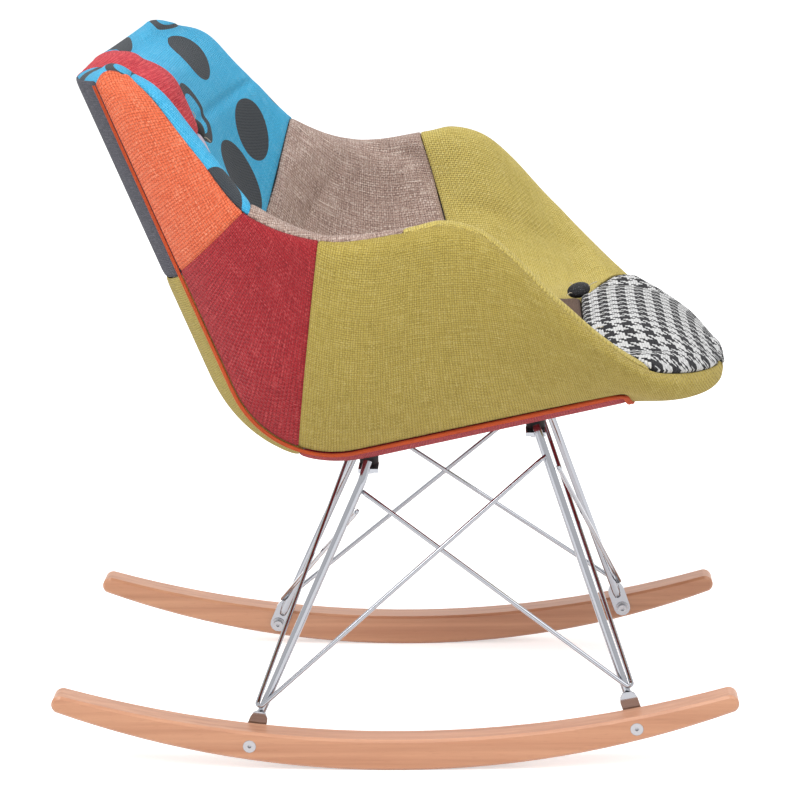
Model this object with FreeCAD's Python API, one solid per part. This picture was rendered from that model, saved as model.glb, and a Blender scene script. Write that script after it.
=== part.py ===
import FreeCAD, Part
import math
import os

V = FreeCAD.Vector

# Rocking chair with a patchwork bucket seat on a wire base and two wooden rockers.
# +X is the way the sitter faces, +Z is up, and the floor under the rockers is Z = 0. Millimetres.

# Rockers
rocker_length = 680.0
rocker_width = 30.0
rocker_height = 32.0
rocker_tip_height = 18.0
rocker_nose = 7.0
rocker_edge_ease = 2.5
rocker_sole_radius = 955.0
rocker_track = 392.0

# Leg rods and hairpin braces
leg_diameter = 9.0
brace_diameter = 5.0
leg_bend_radius = 30.0
brace_bend_radius = 5.0
weld_gap = 0.3
rear_bolt_x = -144.0
front_bolt_x = 240.0
rear_foot = (-139.0, 38.0)
front_foot = (235.0, 58.0)
rear_knee = (-31.0, 141.0, 279.0)
front_knee = (150.0, 123.0, 306.0)
rear_mount = (-25.0, 134.0)
front_mount = (142.0, 118.0)
rear_wrap_height = 56.0
front_wrap_height = 76.0
rear_side_weld_height = 270.0
front_side_weld_height = 302.0
rear_cross_weld_height = 250.0
front_cross_weld_height = 290.0

# Where a brace lies beside a leg, as shares of the distance at which the two rods touch
wrap_outer = 1.1
wrap_inner = 0.4
side_weld_offset = 1.04
cross_weld_offset = 1.15

# Foot tabs and rocker fasteners
tab_thickness = 4.0
tab_width = 18.0
tab_overlap = 5.0
rocker_bolt_diameter = 6.0
sleeve_diameter = 8.0
sleeve_head_diameter = 13.0
sleeve_head_height = 3.0
sleeve_length = 24.0
washer_thickness = 1.5
washer_diameter = 14.0
bolt_head_diameter = 10.0
bolt_head_height = 5.0
socket_width = 4.0
socket_depth = 2.5
hole_clearance = 0.4
thread_clearance = 0.1

# Mounts between legs and seat
plate_thickness = 4.0
plate_width = 20.0
mount_reach = 25.0
leg_top_gap = 3.0
spacer_diameter = 19.0
spacer_height = 5.0
boss_diameter = 24.0
boss_height = 13.0
insert_diameter = 10.0
insert_length = 11.0

# Seat profile in the middle plane: a straight back, a round bend and a rising seat that ends in a lip
fan_x = 100.0
fan_z = 760.0
corner_x = -144.0
corner_z = 256.0
back_recline = 22.5
seat_rise = 12.2
bend_radius = 147.0
lip_x = 336.0
lip_radius = 28.0
top_angle = 9.6
nose_angle = 120.4

# Outer side of the seat: the panel inside the piping, and the side walls up to the rim
panel_half_width = 195.0
panel_rise = 43.0
panel_front_angle = 108.5
groove_limit = 0.8
side_bulge = 0.09
cover_thickness = 4.7
shell_thickness = 5.0
layer_gap = 0.3
seam_gap = 0.4
piping_diameter = 5.0
piping_sink = 1.2
piping_clearance = 0.35

# Rim of the seat, from the corner of the back to the front: (x, z, half width)
rim_points = [
    (-258.0, 692.0, 186.0),
    (-219.0, 672.0, 229.0),
    (-174.0, 625.0, 256.0),
    (-128.0, 570.0, 281.0),
    (-58.0, 544.0, 299.0),
    (18.0, 551.0, 303.0),
    (52.0, 556.0, 301.0),
    (88.0, 545.0, 297.0),
    (124.0, 515.0, 290.0),
    (164.0, 474.0, 280.0),
    (207.0, 438.0, 263.0),
    (250.0, 405.0, 230.0),
    (286.0, 390.0, 182.0),
    (318.0, 380.0, 112.0),
    (333.0, 374.0, 40.0),
]

# Padded lining: each pair is the value at the back and the value at the seat
column_half_width = (62.0, 106.0)
column_depth = (48.0, 76.0)
column_crown = (14.0, 13.0)
side_hollow = (0.05, 0.235)
rim_turn = (12.0, 84.0)
rim_depth = (32.0, 27.0)
blend_angles = (18.0, 62.0)
rim_crest = 8.0
top_round_angle = 6.0
top_round_depth = 0.45
lip_round_start = 111.5
lip_round_end = 122.2

# Seams of the patches, each a line on the side view from (x, z) to (x, z)
orange_red_seam = ((-128.0, 579.0), (-199.0, 505.0))
red_olive_seam = ((-60.0, 553.0), (-90.0, 328.0))
blue_taupe_seam = ((-124.0, 577.0), (-142.0, 500.0))
taupe_olive_seam = ((19.0, 561.0), (46.0, 470.0))
red_lilac_angle = 27.3
lilac_brown_angle = 52.0
brown_check_angle = 104.8
flare_end_angle = 112.5
flare_half_width = 275.0
grey_olive_angle = 40.9
olive_red_angle = 67.0

# Tuft buttons
button_diameter = 25.0
button_height = 9.0
button_dome = [(0.0, 0.9), (0.2, 1.0), (0.55, 0.96), (0.85, 0.7), (1.0, 0.3)]
tuft_diameter = 48.0
tuft_depth = 8.0
tuft_reach = 24.0
back_button_y = 62.0
seat_button_y = 108.0

# Fan angles at which the seat's outline is drawn, and the chords of each of its arcs
arc_chords = 5
bend_chords = 8
wire_chords = 4
round_sides = 12
cord_sides = 8
stations = [top_angle, 11.2, 15.6, 25.0, 36.0, 47.0, 57.0, 67.0, 78.0, 89.0, 99.0, 105.0]
stations += [panel_front_angle, 112.5, 117.0, nose_angle]


def blend(pair, angle):
    """The back's value turning smoothly into the seat's value round the bend."""
    low, high = blend_angles
    share = min(max((angle - low) / (high - low), 0.0), 1.0)
    share = share * share * (3.0 - 2.0 * share)
    return pair[0] + (pair[1] - pair[0]) * share


def ray(angle):
    """Direction of a fan line in the side view; 0 points back, 90 down."""
    turn = math.radians(angle)
    return -math.cos(turn), -math.sin(turn)


def angle_of(x, z):
    return math.degrees(math.atan2(fan_z - z, fan_x - x))


def place(angle, y, reach):
    """A point of the fan plane at this angle, in the chair's frame."""
    dx, dz = ray(angle)
    return V(fan_x + reach * dx, y, fan_z + reach * dz)


def reach_of(point):
    return math.hypot(point.x - fan_x, point.z - fan_z)


def spread_of(point):
    """Grows outwards along a section, so facets of stacked layers fold alike."""
    return abs(point.y) - reach_of(point)


def other_half(p):
    return -p[0], p[1]


def unit(a, b):
    length = math.hypot(b[0] - a[0], b[1] - a[1])
    return (b[0] - a[0]) / length, (b[1] - a[1]) / length


def circle_through(a, b, c):
    """Centre and radius of the circle through three points of a plane."""
    d = 2.0 * (a[0] * (b[1] - c[1]) + b[0] * (c[1] - a[1]) + c[0] * (a[1] - b[1]))
    squares = [p[0] ** 2 + p[1] ** 2 for p in (a, b, c)]
    x = (squares[0] * (b[1] - c[1]) + squares[1] * (c[1] - a[1]) + squares[2] * (a[1] - b[1])) / d
    y = (squares[0] * (c[0] - b[0]) + squares[1] * (a[0] - c[0]) + squares[2] * (b[0] - a[0])) / d
    return (x, y), math.hypot(a[0] - x, a[1] - y)


def arc_points(start, middle, end):
    """Points along an arc, without its end; each chord is about as long as the others of its kind."""
    centre, radius = circle_through(start, middle, end)
    first, halfway, last = [math.atan2(p[1] - centre[1], p[0] - centre[0]) for p in (start, middle, end)]
    turn = math.remainder(halfway - first, 2.0 * math.pi) + math.remainder(last - halfway, 2.0 * math.pi)
    turns = [first + turn * k / arc_chords for k in range(arc_chords)]
    return [(centre[0] + radius * math.cos(t), centre[1] + radius * math.sin(t)) for t in turns]


def circle_reach(centre, radius, angle):
    """How far out a fan line leaves a circle of the side view."""
    dx, dz = ray(angle)
    ox, oz = fan_x - centre[0], fan_z - centre[1]
    half = ox * dx + oz * dz
    return -half + math.sqrt(half ** 2 - ox ** 2 - oz ** 2 + radius ** 2)


def line_reach(normal, depth, angle):
    """How far out a fan line meets a profile line moved inwards by depth."""
    dx, dz = ray(angle)
    height = normal[0] * (fan_x - corner_x) + normal[1] * (fan_z - corner_z)
    return (depth - height) / (normal[0] * dx + normal[1] * dz)


recline = math.radians(back_recline)
rise = math.radians(seat_rise)
back_normal = (math.cos(recline), math.sin(recline))
seat_normal = (-math.sin(rise), math.cos(rise))
bend_scale = bend_radius / (1.0 + back_normal[0] * seat_normal[0] + back_normal[1] * seat_normal[1])
bend_centre = (
    corner_x + bend_scale * (back_normal[0] + seat_normal[0]),
    corner_z + bend_scale * (back_normal[1] + seat_normal[1]),
)
lip_centre_x = lip_x - lip_radius
lip_centre = (
    lip_centre_x,
    corner_z + (lip_centre_x - corner_x) * math.tan(rise) + lip_radius / math.cos(rise),
)
lip_start_angle = angle_of(
    lip_centre[0] - lip_radius * seat_normal[0], lip_centre[1] - lip_radius * seat_normal[1]
)


def spine_reach(angle, depth):
    """Reach of the middle profile at this fan angle, moved inwards by depth."""
    radius = bend_radius - depth
    start = [bend_centre[i] - radius * back_normal[i] for i in (0, 1)]
    end = [bend_centre[i] - radius * seat_normal[i] for i in (0, 1)]
    if angle <= angle_of(*start):
        return line_reach(back_normal, depth, angle)
    if angle <= angle_of(*end):
        return circle_reach(bend_centre, radius, angle)
    if angle <= lip_start_angle or depth > 0.0:
        return line_reach(seat_normal, depth, angle)
    return circle_reach(lip_centre, lip_radius, angle)


rim_curve = Part.BSplineCurve()
rim_curve.interpolate([V(x, y, z) for x, z, y in rim_points])


def rim_at(angle):
    """Half width and reach of the rim where it crosses this fan angle."""
    low, high = rim_curve.FirstParameter, rim_curve.LastParameter
    for _ in range(50):
        middle = 0.5 * (low + high)
        point = rim_curve.value(middle)
        if angle_of(point.x, point.z) < angle:
            low = middle
        else:
            high = middle
    point = rim_curve.value(low)
    return point.y, math.hypot(point.x - fan_x, point.z - fan_z)


front_rim = rim_at(panel_front_angle)
front_spine = spine_reach(panel_front_angle, 0.0)
lip_width_share = panel_half_width / front_rim[0]
lip_rise_share = (front_spine - spine_reach(panel_front_angle, panel_rise)) / (front_spine - front_rim[1])


class Section:
    """One cut through the seat in a fan plane; points are (half width, reach)."""

    def __init__(self, angle):
        self.angle = angle
        self.spine = spine_reach(angle, 0.0)
        self.rim = rim_at(angle)
        if angle <= panel_front_angle:
            self.edge = (panel_half_width, spine_reach(angle, panel_rise))
        else:
            drop = lip_rise_share * (self.spine - self.rim[1])
            self.edge = (lip_width_share * self.rim[0], self.spine - drop)
        along = unit(self.edge, self.rim)
        self.outward = (-along[1], along[0]) if along[1] < 0 else (along[1], -along[0])
        chord = math.dist(self.edge, self.rim)
        self.bulge = tuple(
            0.5 * (self.edge[i] + self.rim[i]) + side_bulge * chord * self.outward[i] for i in (0, 1)
        )
        spine = (0.0, self.spine)
        self.panel_centre, self.panel_radius = circle_through(other_half(self.edge), spine, self.edge)
        self.wall_centre, self.wall_radius = circle_through(self.edge, self.bulge, self.rim)

    def panel_point(self, y, depth):
        radius = self.panel_radius - depth
        return y, self.panel_centre[1] + math.sqrt(radius ** 2 - y ** 2)

    def wall_point(self, share, depth):
        """A point of the side wall, from the piping at 0 to the rim at 1."""
        first = math.atan2(self.edge[1] - self.wall_centre[1], self.edge[0] - self.wall_centre[0])
        last = math.atan2(self.rim[1] - self.wall_centre[1], self.rim[0] - self.wall_centre[0])
        turn = first + share * (last - first)
        radius = self.wall_radius - depth
        return self.wall_centre[0] + radius * math.cos(turn), self.wall_centre[1] + radius * math.sin(turn)

    def corner(self, depth):
        """Where panel and wall meet under the piping, both moved inwards by depth."""
        r1, r2 = self.panel_radius - depth, self.wall_radius - depth
        ox, oy = self.panel_centre
        dx, dy = self.wall_centre[0] - ox, self.wall_centre[1] - oy
        gap = math.hypot(dx, dy)
        along = (gap ** 2 + r1 ** 2 - r2 ** 2) / (2.0 * gap)
        across = math.sqrt(r1 ** 2 - along ** 2)
        sides = [
            (ox + (along * dx - k * across * dy) / gap, oy + (along * dy + k * across * dx) / gap)
            for k in (1.0, -1.0)
        ]
        return min(sides, key=lambda p: math.dist(p, self.edge))

    def outline(self, corners, middles):
        """Closed outline through the corners, bowed over each middle and straight where there is none."""
        points = []
        for start, middle, end in zip(corners, middles, corners[1:] + corners[:1]):
            points += arc_points(start, middle, end) if middle else [start]
        return [place(self.angle, y, reach) for y, reach in points]

    def skin(self, depth):
        """Corners and middles of the line from rim to rim at this depth: wall, panel, wall."""
        corner, rim, middle = self.corner(depth), self.wall_point(1.0, depth), self.wall_point(0.5, depth)
        corners = [other_half(rim), other_half(corner), corner, rim]
        return corners, [other_half(middle), self.panel_point(0.0, depth), middle]

    def layer(self, outer, inner):
        """Closed outline of a layer that lies between two depths."""
        outside, outside_middles = self.skin(outer)
        inside, inside_middles = self.skin(inner)
        corners = outside + inside[::-1]
        return self.outline(corners, outside_middles + [None] + inside_middles[::-1] + [None])

    def roundness(self):
        """Share of the full padding that is left near the top edge and the front lip."""
        if self.angle < top_angle + top_round_angle:
            rest = (top_angle + top_round_angle - self.angle) / top_round_angle
            return top_round_depth + (1.0 - top_round_depth) * math.sqrt(1.0 - rest ** 2)
        if self.angle > lip_round_start:
            past = (self.angle - lip_round_start) / (lip_round_end - lip_round_start)
            return math.sqrt(1.0 - past ** 2)
        return 1.0

    def groove(self):
        """The sewn line between the middle column and the side of the lining."""
        y = min(column_half(self.angle), groove_limit * self.edge[0])
        back = lining_depth + (blend(column_depth, self.angle) - lining_depth) * self.roundness() ** 2
        return self.panel_point(y, back)

    def crown(self):
        depth = blend(column_depth, self.angle) + blend(column_crown, self.angle)
        return 0.0, self.spine - lining_depth - (depth - lining_depth) * self.roundness()

    def inner_rim(self):
        turn = math.radians(blend(rim_turn, self.angle))
        depth = blend(rim_depth, self.angle) * self.roundness()
        start = self.wall_point(1.0, lining_depth)
        return start[0] - depth * math.sin(turn), start[1] - depth * math.cos(turn)

    def lining(self):
        """Closed outline of the padding, with a crowned column between two hollow sides."""
        start, end = self.wall_point(1.0, lining_depth), self.inner_rim()
        groove, crown = self.groove(), self.crown()
        along, chord = unit(start, end), unit(groove, end)
        across = (-along[1], along[0])
        if across[0] < across[1]:
            across = (along[1], -along[0])
        crest = tuple(0.5 * (start[i] + end[i]) + rim_crest * across[i] for i in (0, 1))
        outward = (-chord[1], chord[0]) if chord[0] > 0.0 else (chord[1], -chord[0])
        sag = blend(side_hollow, self.angle) * math.dist(groove, end) * self.roundness()
        hollow = tuple(0.5 * (groove[i] + end[i]) + sag * outward[i] for i in (0, 1))
        corners, middles = self.skin(lining_depth)
        corners = corners + [end, groove, other_half(groove), other_half(end)]
        middles = middles + [crest, hollow, crown, other_half(hollow), other_half(crest)]
        return self.outline(corners, middles)


shell_outer = cover_thickness + layer_gap
shell_inner = shell_outer + shell_thickness
lining_depth = shell_inner + layer_gap


def column_half(angle):
    """Half width of the middle column, which flares to the rim at the front."""
    if angle <= brown_check_angle:
        return blend(column_half_width, angle)
    share = min((angle - brown_check_angle) / (flare_end_angle - brown_check_angle), 1.0)
    return column_half_width[1] + share * (flare_half_width - column_half_width[1])


sections = [Section(angle) for angle in stations]
past_top, past_nose = top_angle - 6.0, nose_angle + 4.0


def faceted_loft(outlines):
    """A closed solid of flat facets through outlines of equally many points."""
    faces = [Part.Face(Part.makePolygon(ring + ring[:1])) for ring in (outlines[0], outlines[-1])]
    for ring, following in zip(outlines, outlines[1:]):
        for i, start in enumerate(ring):
            quad = [start, ring[i - 1], following[i - 1], following[i]]
            fold = 0 if spread_of(quad[0]) > spread_of(quad[1]) else 1
            quad = quad[fold:] + quad[:fold]
            for corners in ((quad[0], quad[1], quad[2]), (quad[0], quad[2], quad[3])):
                faces.append(Part.Face(Part.makePolygon(corners + corners[:1])))
    hull = Part.makeCompound(faces)
    hull.sewShape()
    solid = Part.makeSolid(hull.Shells[0])
    return solid if solid.Volume > 0.0 else solid.reversed()


def layer_solid(outer, inner):
    return faceted_loft([s.layer(outer, inner) for s in sections])


def fan_wedge(first, last, width=700.0, reach=800.0):
    """The part of space between two fan planes."""
    centre = V(fan_x, -width / 2.0, fan_z)
    corners = [centre]
    for angle in (first, 0.5 * (first + last), last):
        dx, dz = ray(angle)
        corners.append(centre + V(dx * reach, 0.0, dz * reach))
    corners.append(centre)
    return Part.Face(Part.makePolygon(corners)).extrude(V(0.0, width, 0.0))


def behind(seam, gap, reach=1500.0):
    """The space behind a seam line of the side view, less half the seam's gap."""
    (x1, z1), (x2, z2) = seam
    dx, dz = unit((x1, z1), (x2, z2))
    back = V(dz, 0.0, -dx)
    if back.x > 0.0:
        back = back * -1.0
    top = V(x1 - dx * reach, -reach, z1 - dz * reach) + back * (gap / 2.0)
    bottom = V(x2 + dx * reach, -reach, z2 + dz * reach) + back * (gap / 2.0)
    outline = Part.makePolygon([top, bottom, bottom + back * reach, top + back * reach, top])
    return Part.Face(outline).extrude(V(0.0, 2.0 * reach, 0.0))


def column_tool(margin, reach=(60.0, 700.0)):
    """The space of the middle column, as a ruled loft of rectangles along the fan."""
    wires = []
    angles = [past_top] + [a for a in stations if top_angle < a < brown_check_angle]
    for angle in angles + [brown_check_angle, flare_end_angle, past_nose]:
        half = column_half(angle) + margin
        corners = [(-half, reach[0]), (half, reach[0]), (half, reach[1]), (-half, reach[1])]
        points = [place(angle, y, r) for y, r in corners]
        wires.append(Part.makePolygon(points + points[:1]))
    return Part.makeLoft(wires, True, True)


def half_space(side, start=0.0, size=1500.0):
    """Everything on one side of the chair, further out than start."""
    low = start if side > 0 else -size
    return Part.makeBox(2.0 * size, size - start, 2.0 * size, V(-size, low, -size / 2.0))


def largest(shape):
    return max(shape.Solids, key=lambda solid: solid.Volume)


def fan_line(y, depth, first, last):
    """Points along the seat at a fixed half width: straight, round the bend, straight."""
    radius = bend_radius - depth
    ends = [place(angle, y, spine_reach(angle, depth)) for angle in (first, last)]
    first_turn, last_turn = [math.atan2(-normal[1], -normal[0]) for normal in (back_normal, seat_normal)]
    bend = []
    for k in range(bend_chords + 1):
        turn = first_turn + math.remainder(last_turn - first_turn, 2.0 * math.pi) * k / bend_chords
        bend.append(V(bend_centre[0] + radius * math.cos(turn), y, bend_centre[1] + radius * math.sin(turn)))
    return [ends[0]] + bend + [ends[1]]


def bent_line(points, radius):
    """Straight runs through the points, joined by tangent arcs in chords."""
    line = [points[0]]
    for before, corner, after in zip(points, points[1:], points[2:]):
        to_start, to_end = (before - corner).normalize(), (after - corner).normalize()
        half = 0.5 * to_start.getAngle(to_end)
        centre = corner + (to_start + to_end).normalize() * (radius / math.sin(half))
        first = corner + to_start * (radius / math.tan(half)) - centre
        axis = to_end.cross(to_start)
        for k in range(wire_chords + 1):
            turn = math.degrees((math.pi - 2.0 * half) * k / wire_chords)
            line.append(centre + FreeCAD.Rotation(axis, turn).multVec(first))
    return line + [points[-1]]


def ring_of(centre, across, along, radius, sides):
    """Corners of a regular outline about a centre."""
    up = along.cross(across).normalize()
    turns = [2.0 * math.pi * k / sides for k in range(sides)]
    return [centre + across * (radius * math.cos(t)) + up * (radius * math.sin(t)) for t in turns]


def square_to(along):
    """A direction square to another, steady for all pieces that share it."""
    helper = V(0, 0, 1) if abs(along.z) < 0.9 else V(1, 0, 0)
    return along.cross(helper).normalize()


def tube(line, diameter, sides):
    """A rod along a line of points, mitred at each of them."""
    rings = []
    across = square_to((line[1] - line[0]).normalize())
    for k, centre in enumerate(line):
        before = (centre - line[max(k - 1, 0)]) if k else (line[1] - line[0])
        after = (line[k + 1] - centre) if k + 1 < len(line) else before
        along = (before.normalize() + after.normalize()).normalize()
        across = (across - along * across.dot(along)).normalize()
        rings.append(ring_of(centre, across, along, diameter / 2.0, sides))
    return faceted_loft(rings)


def turned(base, axis, steps):
    """A round piece on an axis, given as steps of (height, diameter)."""
    across = square_to(axis)
    rings = [ring_of(base + axis * height, across, axis, width / 2.0, round_sides) for height, width in steps]
    return faceted_loft(rings)


def rod(diameter, base, axis, length):
    return turned(base, axis, [(0.0, diameter), (length, diameter)])


def underside(x, y):
    """Height of the seat's underside at a place on the floor plan."""
    low, high = stations[1], panel_front_angle
    for _ in range(40):
        middle = 0.5 * (low + high)
        if place(middle, y, Section(middle).panel_point(y, 0.0)[1]).x < x:
            low = middle
        else:
            high = middle
    return place(low, y, Section(low).panel_point(y, 0.0)[1]).z


nodes = {}


# Rockers
tip_reach = math.hypot(rocker_sole_radius - rocker_tip_height / 2.0, rocker_nose)
tip_turn = math.asin(rocker_length / 2.0 / tip_reach) - math.atan2(
    rocker_nose, rocker_sole_radius - rocker_tip_height / 2.0
)


def tip_point(side, up, forward):
    """A point of a rocker's tip, from its sole upwards and outwards."""
    radius = rocker_sole_radius - up
    x = radius * math.sin(tip_turn) + forward * math.cos(tip_turn)
    z = rocker_sole_radius - radius * math.cos(tip_turn) + forward * math.sin(tip_turn)
    return V(side * x, 0.0, z)


def tip_points(side, inset=0.0):
    """The sole's end, the nose and the upper end of a tip, each moved in by an inset."""
    heights = (
        (inset, 0.0),
        (rocker_tip_height / 2.0, rocker_nose - inset),
        (rocker_tip_height - inset, 0.0),
    )
    return [tip_point(side, up, forward) for up, forward in heights]


rear_tip, front_tip = tip_points(-1.0), tip_points(1.0)
back_centre, back_radius = circle_through(
    (rear_tip[2].x, rear_tip[2].z), (0.0, rocker_height), (front_tip[2].x, front_tip[2].z)
)


def rocker_middle(x):
    """Height of the rocker's centre line."""
    sole = rocker_sole_radius - math.sqrt(rocker_sole_radius ** 2 - x ** 2)
    back = back_centre[1] - math.sqrt(back_radius ** 2 - x ** 2)
    return 0.5 * (sole + back)


inner_face = (rocker_track - rocker_width) / 2.0
outer_face = inner_face + rocker_width
bolt_places = [(x, rocker_middle(x)) for x in (rear_bolt_x, front_bolt_x)]


def rocker_outline(y, inset):
    """Side outline of a rocker on the plane at y."""
    rear, front = tip_points(-1.0, inset), tip_points(1.0, inset)
    sole, back = V(0.0, 0.0, inset), V(0.0, 0.0, rocker_height - inset)
    arcs = [(rear[0], sole, front[0]), front, (front[2], back, rear[2]), rear[::-1]]
    shift = V(0.0, y, 0.0)
    return Part.Wire([Part.Arc(*[q + shift for q in arc]).toShape() for arc in arcs])


def rocker(side):
    ease = rocker_edge_ease
    cuts = [(inner_face, ease), (inner_face + ease, 0.0), (outer_face - ease, 0.0), (outer_face, ease)]
    blank = Part.makeLoft([rocker_outline(y, inset) for y, inset in cuts], True, True)
    for x, z in bolt_places:
        hole = rod(sleeve_diameter + hole_clearance, V(x, inner_face, z), V(0, 1, 0), rocker_width)
        seat = V(x, outer_face - sleeve_head_height, z)
        recess = rod(sleeve_head_diameter + hole_clearance, seat, V(0, 1, 0), sleeve_head_height)
        blank = blank.cut(hole).cut(recess)
    return blank if side > 0 else blank.mirror(V(0, 0, 0), V(0, 1, 0))


sides = {"left": 1.0, "right": -1.0}
for name, side in sides.items():
    nodes["rocker_" + name] = rocker(side)

# Leg rods, in order of their ends: foot, knee, top
leg_y = inner_face - tab_thickness - weld_gap - leg_diameter / 2.0
brace_gap = leg_diameter / 2.0 + brace_diameter / 2.0 + weld_gap


class Leg:
    """One leg of the base; sign is -1 at the rear and 1 at the front."""

    def __init__(self, name, sign, side, bolt, foot, knee, mount):
        self.name, self.sign, self.side, self.bolt = name, sign, side, bolt
        top = underside(*mount) - leg_top_gap
        self.foot = V(foot[0], side * leg_y, foot[1])
        self.knee = V(knee[0], side * knee[1], knee[2])
        self.top = V(mount[0], side * mount[1], top)
        self.screw = V(mount[0], side * (mount[1] - mount_reach), 0.0)
        self.plate_top = underside(mount[0], mount[1] - mount_reach) - spacer_height
        self.path = bent_line([self.foot, self.knee, self.top], leg_bend_radius)

    def at(self, height):
        """Where the straight lower run of the rod is at this height."""
        share = (height - self.foot.z) / (self.knee.z - self.foot.z)
        return self.foot + (self.knee - self.foot) * share


rear_values = (bolt_places[0], rear_foot, rear_knee, rear_mount)
front_values = (bolt_places[1], front_foot, front_knee, front_mount)
legs = {}
for name, side in sides.items():
    legs["rear", name] = Leg("rear_" + name, -1.0, side, *rear_values)
    legs["front", name] = Leg("front_" + name, 1.0, side, *front_values)
for leg in legs.values():
    nodes["leg_" + leg.name] = tube(leg.path, leg_diameter, round_sides)

# Hairpin braces: each is wrapped round the foot of its leg and welded to two others
wrap_heights = {"rear": rear_wrap_height, "front": front_wrap_height}
side_welds = {"rear": rear_side_weld_height, "front": front_side_weld_height}
cross_welds = {"rear": rear_cross_weld_height, "front": front_cross_weld_height}
other_end = {"rear": "front", "front": "rear"}
other_side = {"left": "right", "right": "left"}


def brace(end, name):
    leg = legs[end, name]
    root = leg.at(wrap_heights[end])
    long_leg, cross_leg = legs[other_end[end], name], legs[end, other_side[name]]
    outer, inner = wrap_outer * brace_gap, wrap_inner * brace_gap
    near_long = root + V(leg.sign * inner, leg.side * outer, 0.0)
    near_cross = root + V(leg.sign * outer, leg.side * inner, 0.0)
    long_side = leg.side if end == "rear" else -leg.side
    long_end = long_leg.at(side_welds[other_end[end]]) + V(0.0, long_side * side_weld_offset * brace_gap, 0.0)
    cross_end = cross_leg.at(cross_welds[end]) + V(leg.side * cross_weld_offset * brace_gap, 0.0, 0.0)
    route = bent_line([long_end, near_long, near_cross, cross_end], brace_bend_radius)
    return tube(route, brace_diameter, round_sides)


for end, name in legs:
    nodes["brace_" + end + "_" + name] = brace(end, name)


# Foot tabs and their fasteners
def bar(a, b, width, thickness):
    """A flat bar with round ends between two points of the side view."""
    along = (b - a).normalize()
    outline = []
    for centre, first in ((b, -90.0), (a, 90.0)):
        for k in range(round_sides // 2 + 1):
            turn = FreeCAD.Rotation(V(0, 1, 0), first + 180.0 * k / (round_sides // 2))
            outline.append(centre + turn.multVec(along) * (width / 2.0))
    return Part.Face(Part.makePolygon(outline + outline[:1])).extrude(V(0.0, thickness, 0.0))


def mirrored(shape, side):
    return shape if side > 0 else shape.mirror(V(0, 0, 0), V(0, 1, 0))


def ring(outer, inner, base, axis, height):
    return rod(outer, base, axis, height).cut(rod(inner, base, axis, height))


def socket_cut(base, axis, width, depth):
    """A six-sided socket for a key."""
    turn = FreeCAD.Rotation(V(0, 0, 1), axis)
    corners = [
        base + turn.multVec(V(math.cos(k * math.pi / 3.0), math.sin(k * math.pi / 3.0), 0.0)) * (width / 2.0)
        for k in range(7)
    ]
    return Part.Face(Part.makePolygon(corners)).extrude(axis * depth)


def screw(base, axis, length):
    """A socket screw whose head sits behind base."""
    under = base - axis * bolt_head_height
    solid = rod(bolt_head_diameter, under, axis, bolt_head_height).fuse(
        rod(rocker_bolt_diameter, base, axis, length)
    )
    return solid.cut(socket_cut(under, axis, socket_width, socket_depth))


along_y = V(0, 1, 0)
tab_face = inner_face - tab_thickness
rocker_bolts, rocker_washers, sleeve_nuts = [], [], []
for leg in legs.values():
    x, z = leg.bolt
    upper = leg.at(leg.foot.z + tab_overlap)
    tab = bar(V(x, tab_face, z), V(upper.x, tab_face, upper.z), tab_width, tab_thickness)
    tab = tab.cut(rod(rocker_bolt_diameter + hole_clearance, V(x, tab_face, z), along_y, tab_thickness))
    nodes["foot_tab_" + leg.name] = mirrored(tab, leg.side)
    washer_base = V(x, tab_face - washer_thickness, z)
    washer = ring(
        washer_diameter, rocker_bolt_diameter + hole_clearance, washer_base, along_y, washer_thickness
    )
    rocker_washers.append(mirrored(washer, leg.side))
    sleeve_start = outer_face - sleeve_length
    grip = outer_face - 2.0 * sleeve_head_height - washer_base.y
    rocker_bolts.append(mirrored(screw(washer_base, along_y, grip), leg.side))
    head = rod(sleeve_head_diameter, V(x, outer_face - sleeve_head_height, z), along_y, sleeve_head_height)
    barrel = rod(sleeve_diameter, V(x, sleeve_start, z), along_y, sleeve_length - sleeve_head_height)
    bore = rod(
        rocker_bolt_diameter + 2.0 * thread_clearance,
        V(x, sleeve_start, z),
        along_y,
        sleeve_length - sleeve_head_height,
    )
    key = socket_cut(V(x, outer_face, z), V(0, -1, 0), socket_width, socket_depth)
    sleeve_nuts.append(mirrored(head.fuse(barrel).cut(bore).cut(key), leg.side))

# Seat layers before they are cut into pieces
cover = layer_solid(0.0, cover_thickness)
shell = layer_solid(shell_outer, shell_inner)
lining = faceted_loft([s.lining() for s in sections])
outside = layer_solid(-boss_diameter, shell_outer)
below = layer_solid(-layer_gap, shell_inner)

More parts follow.
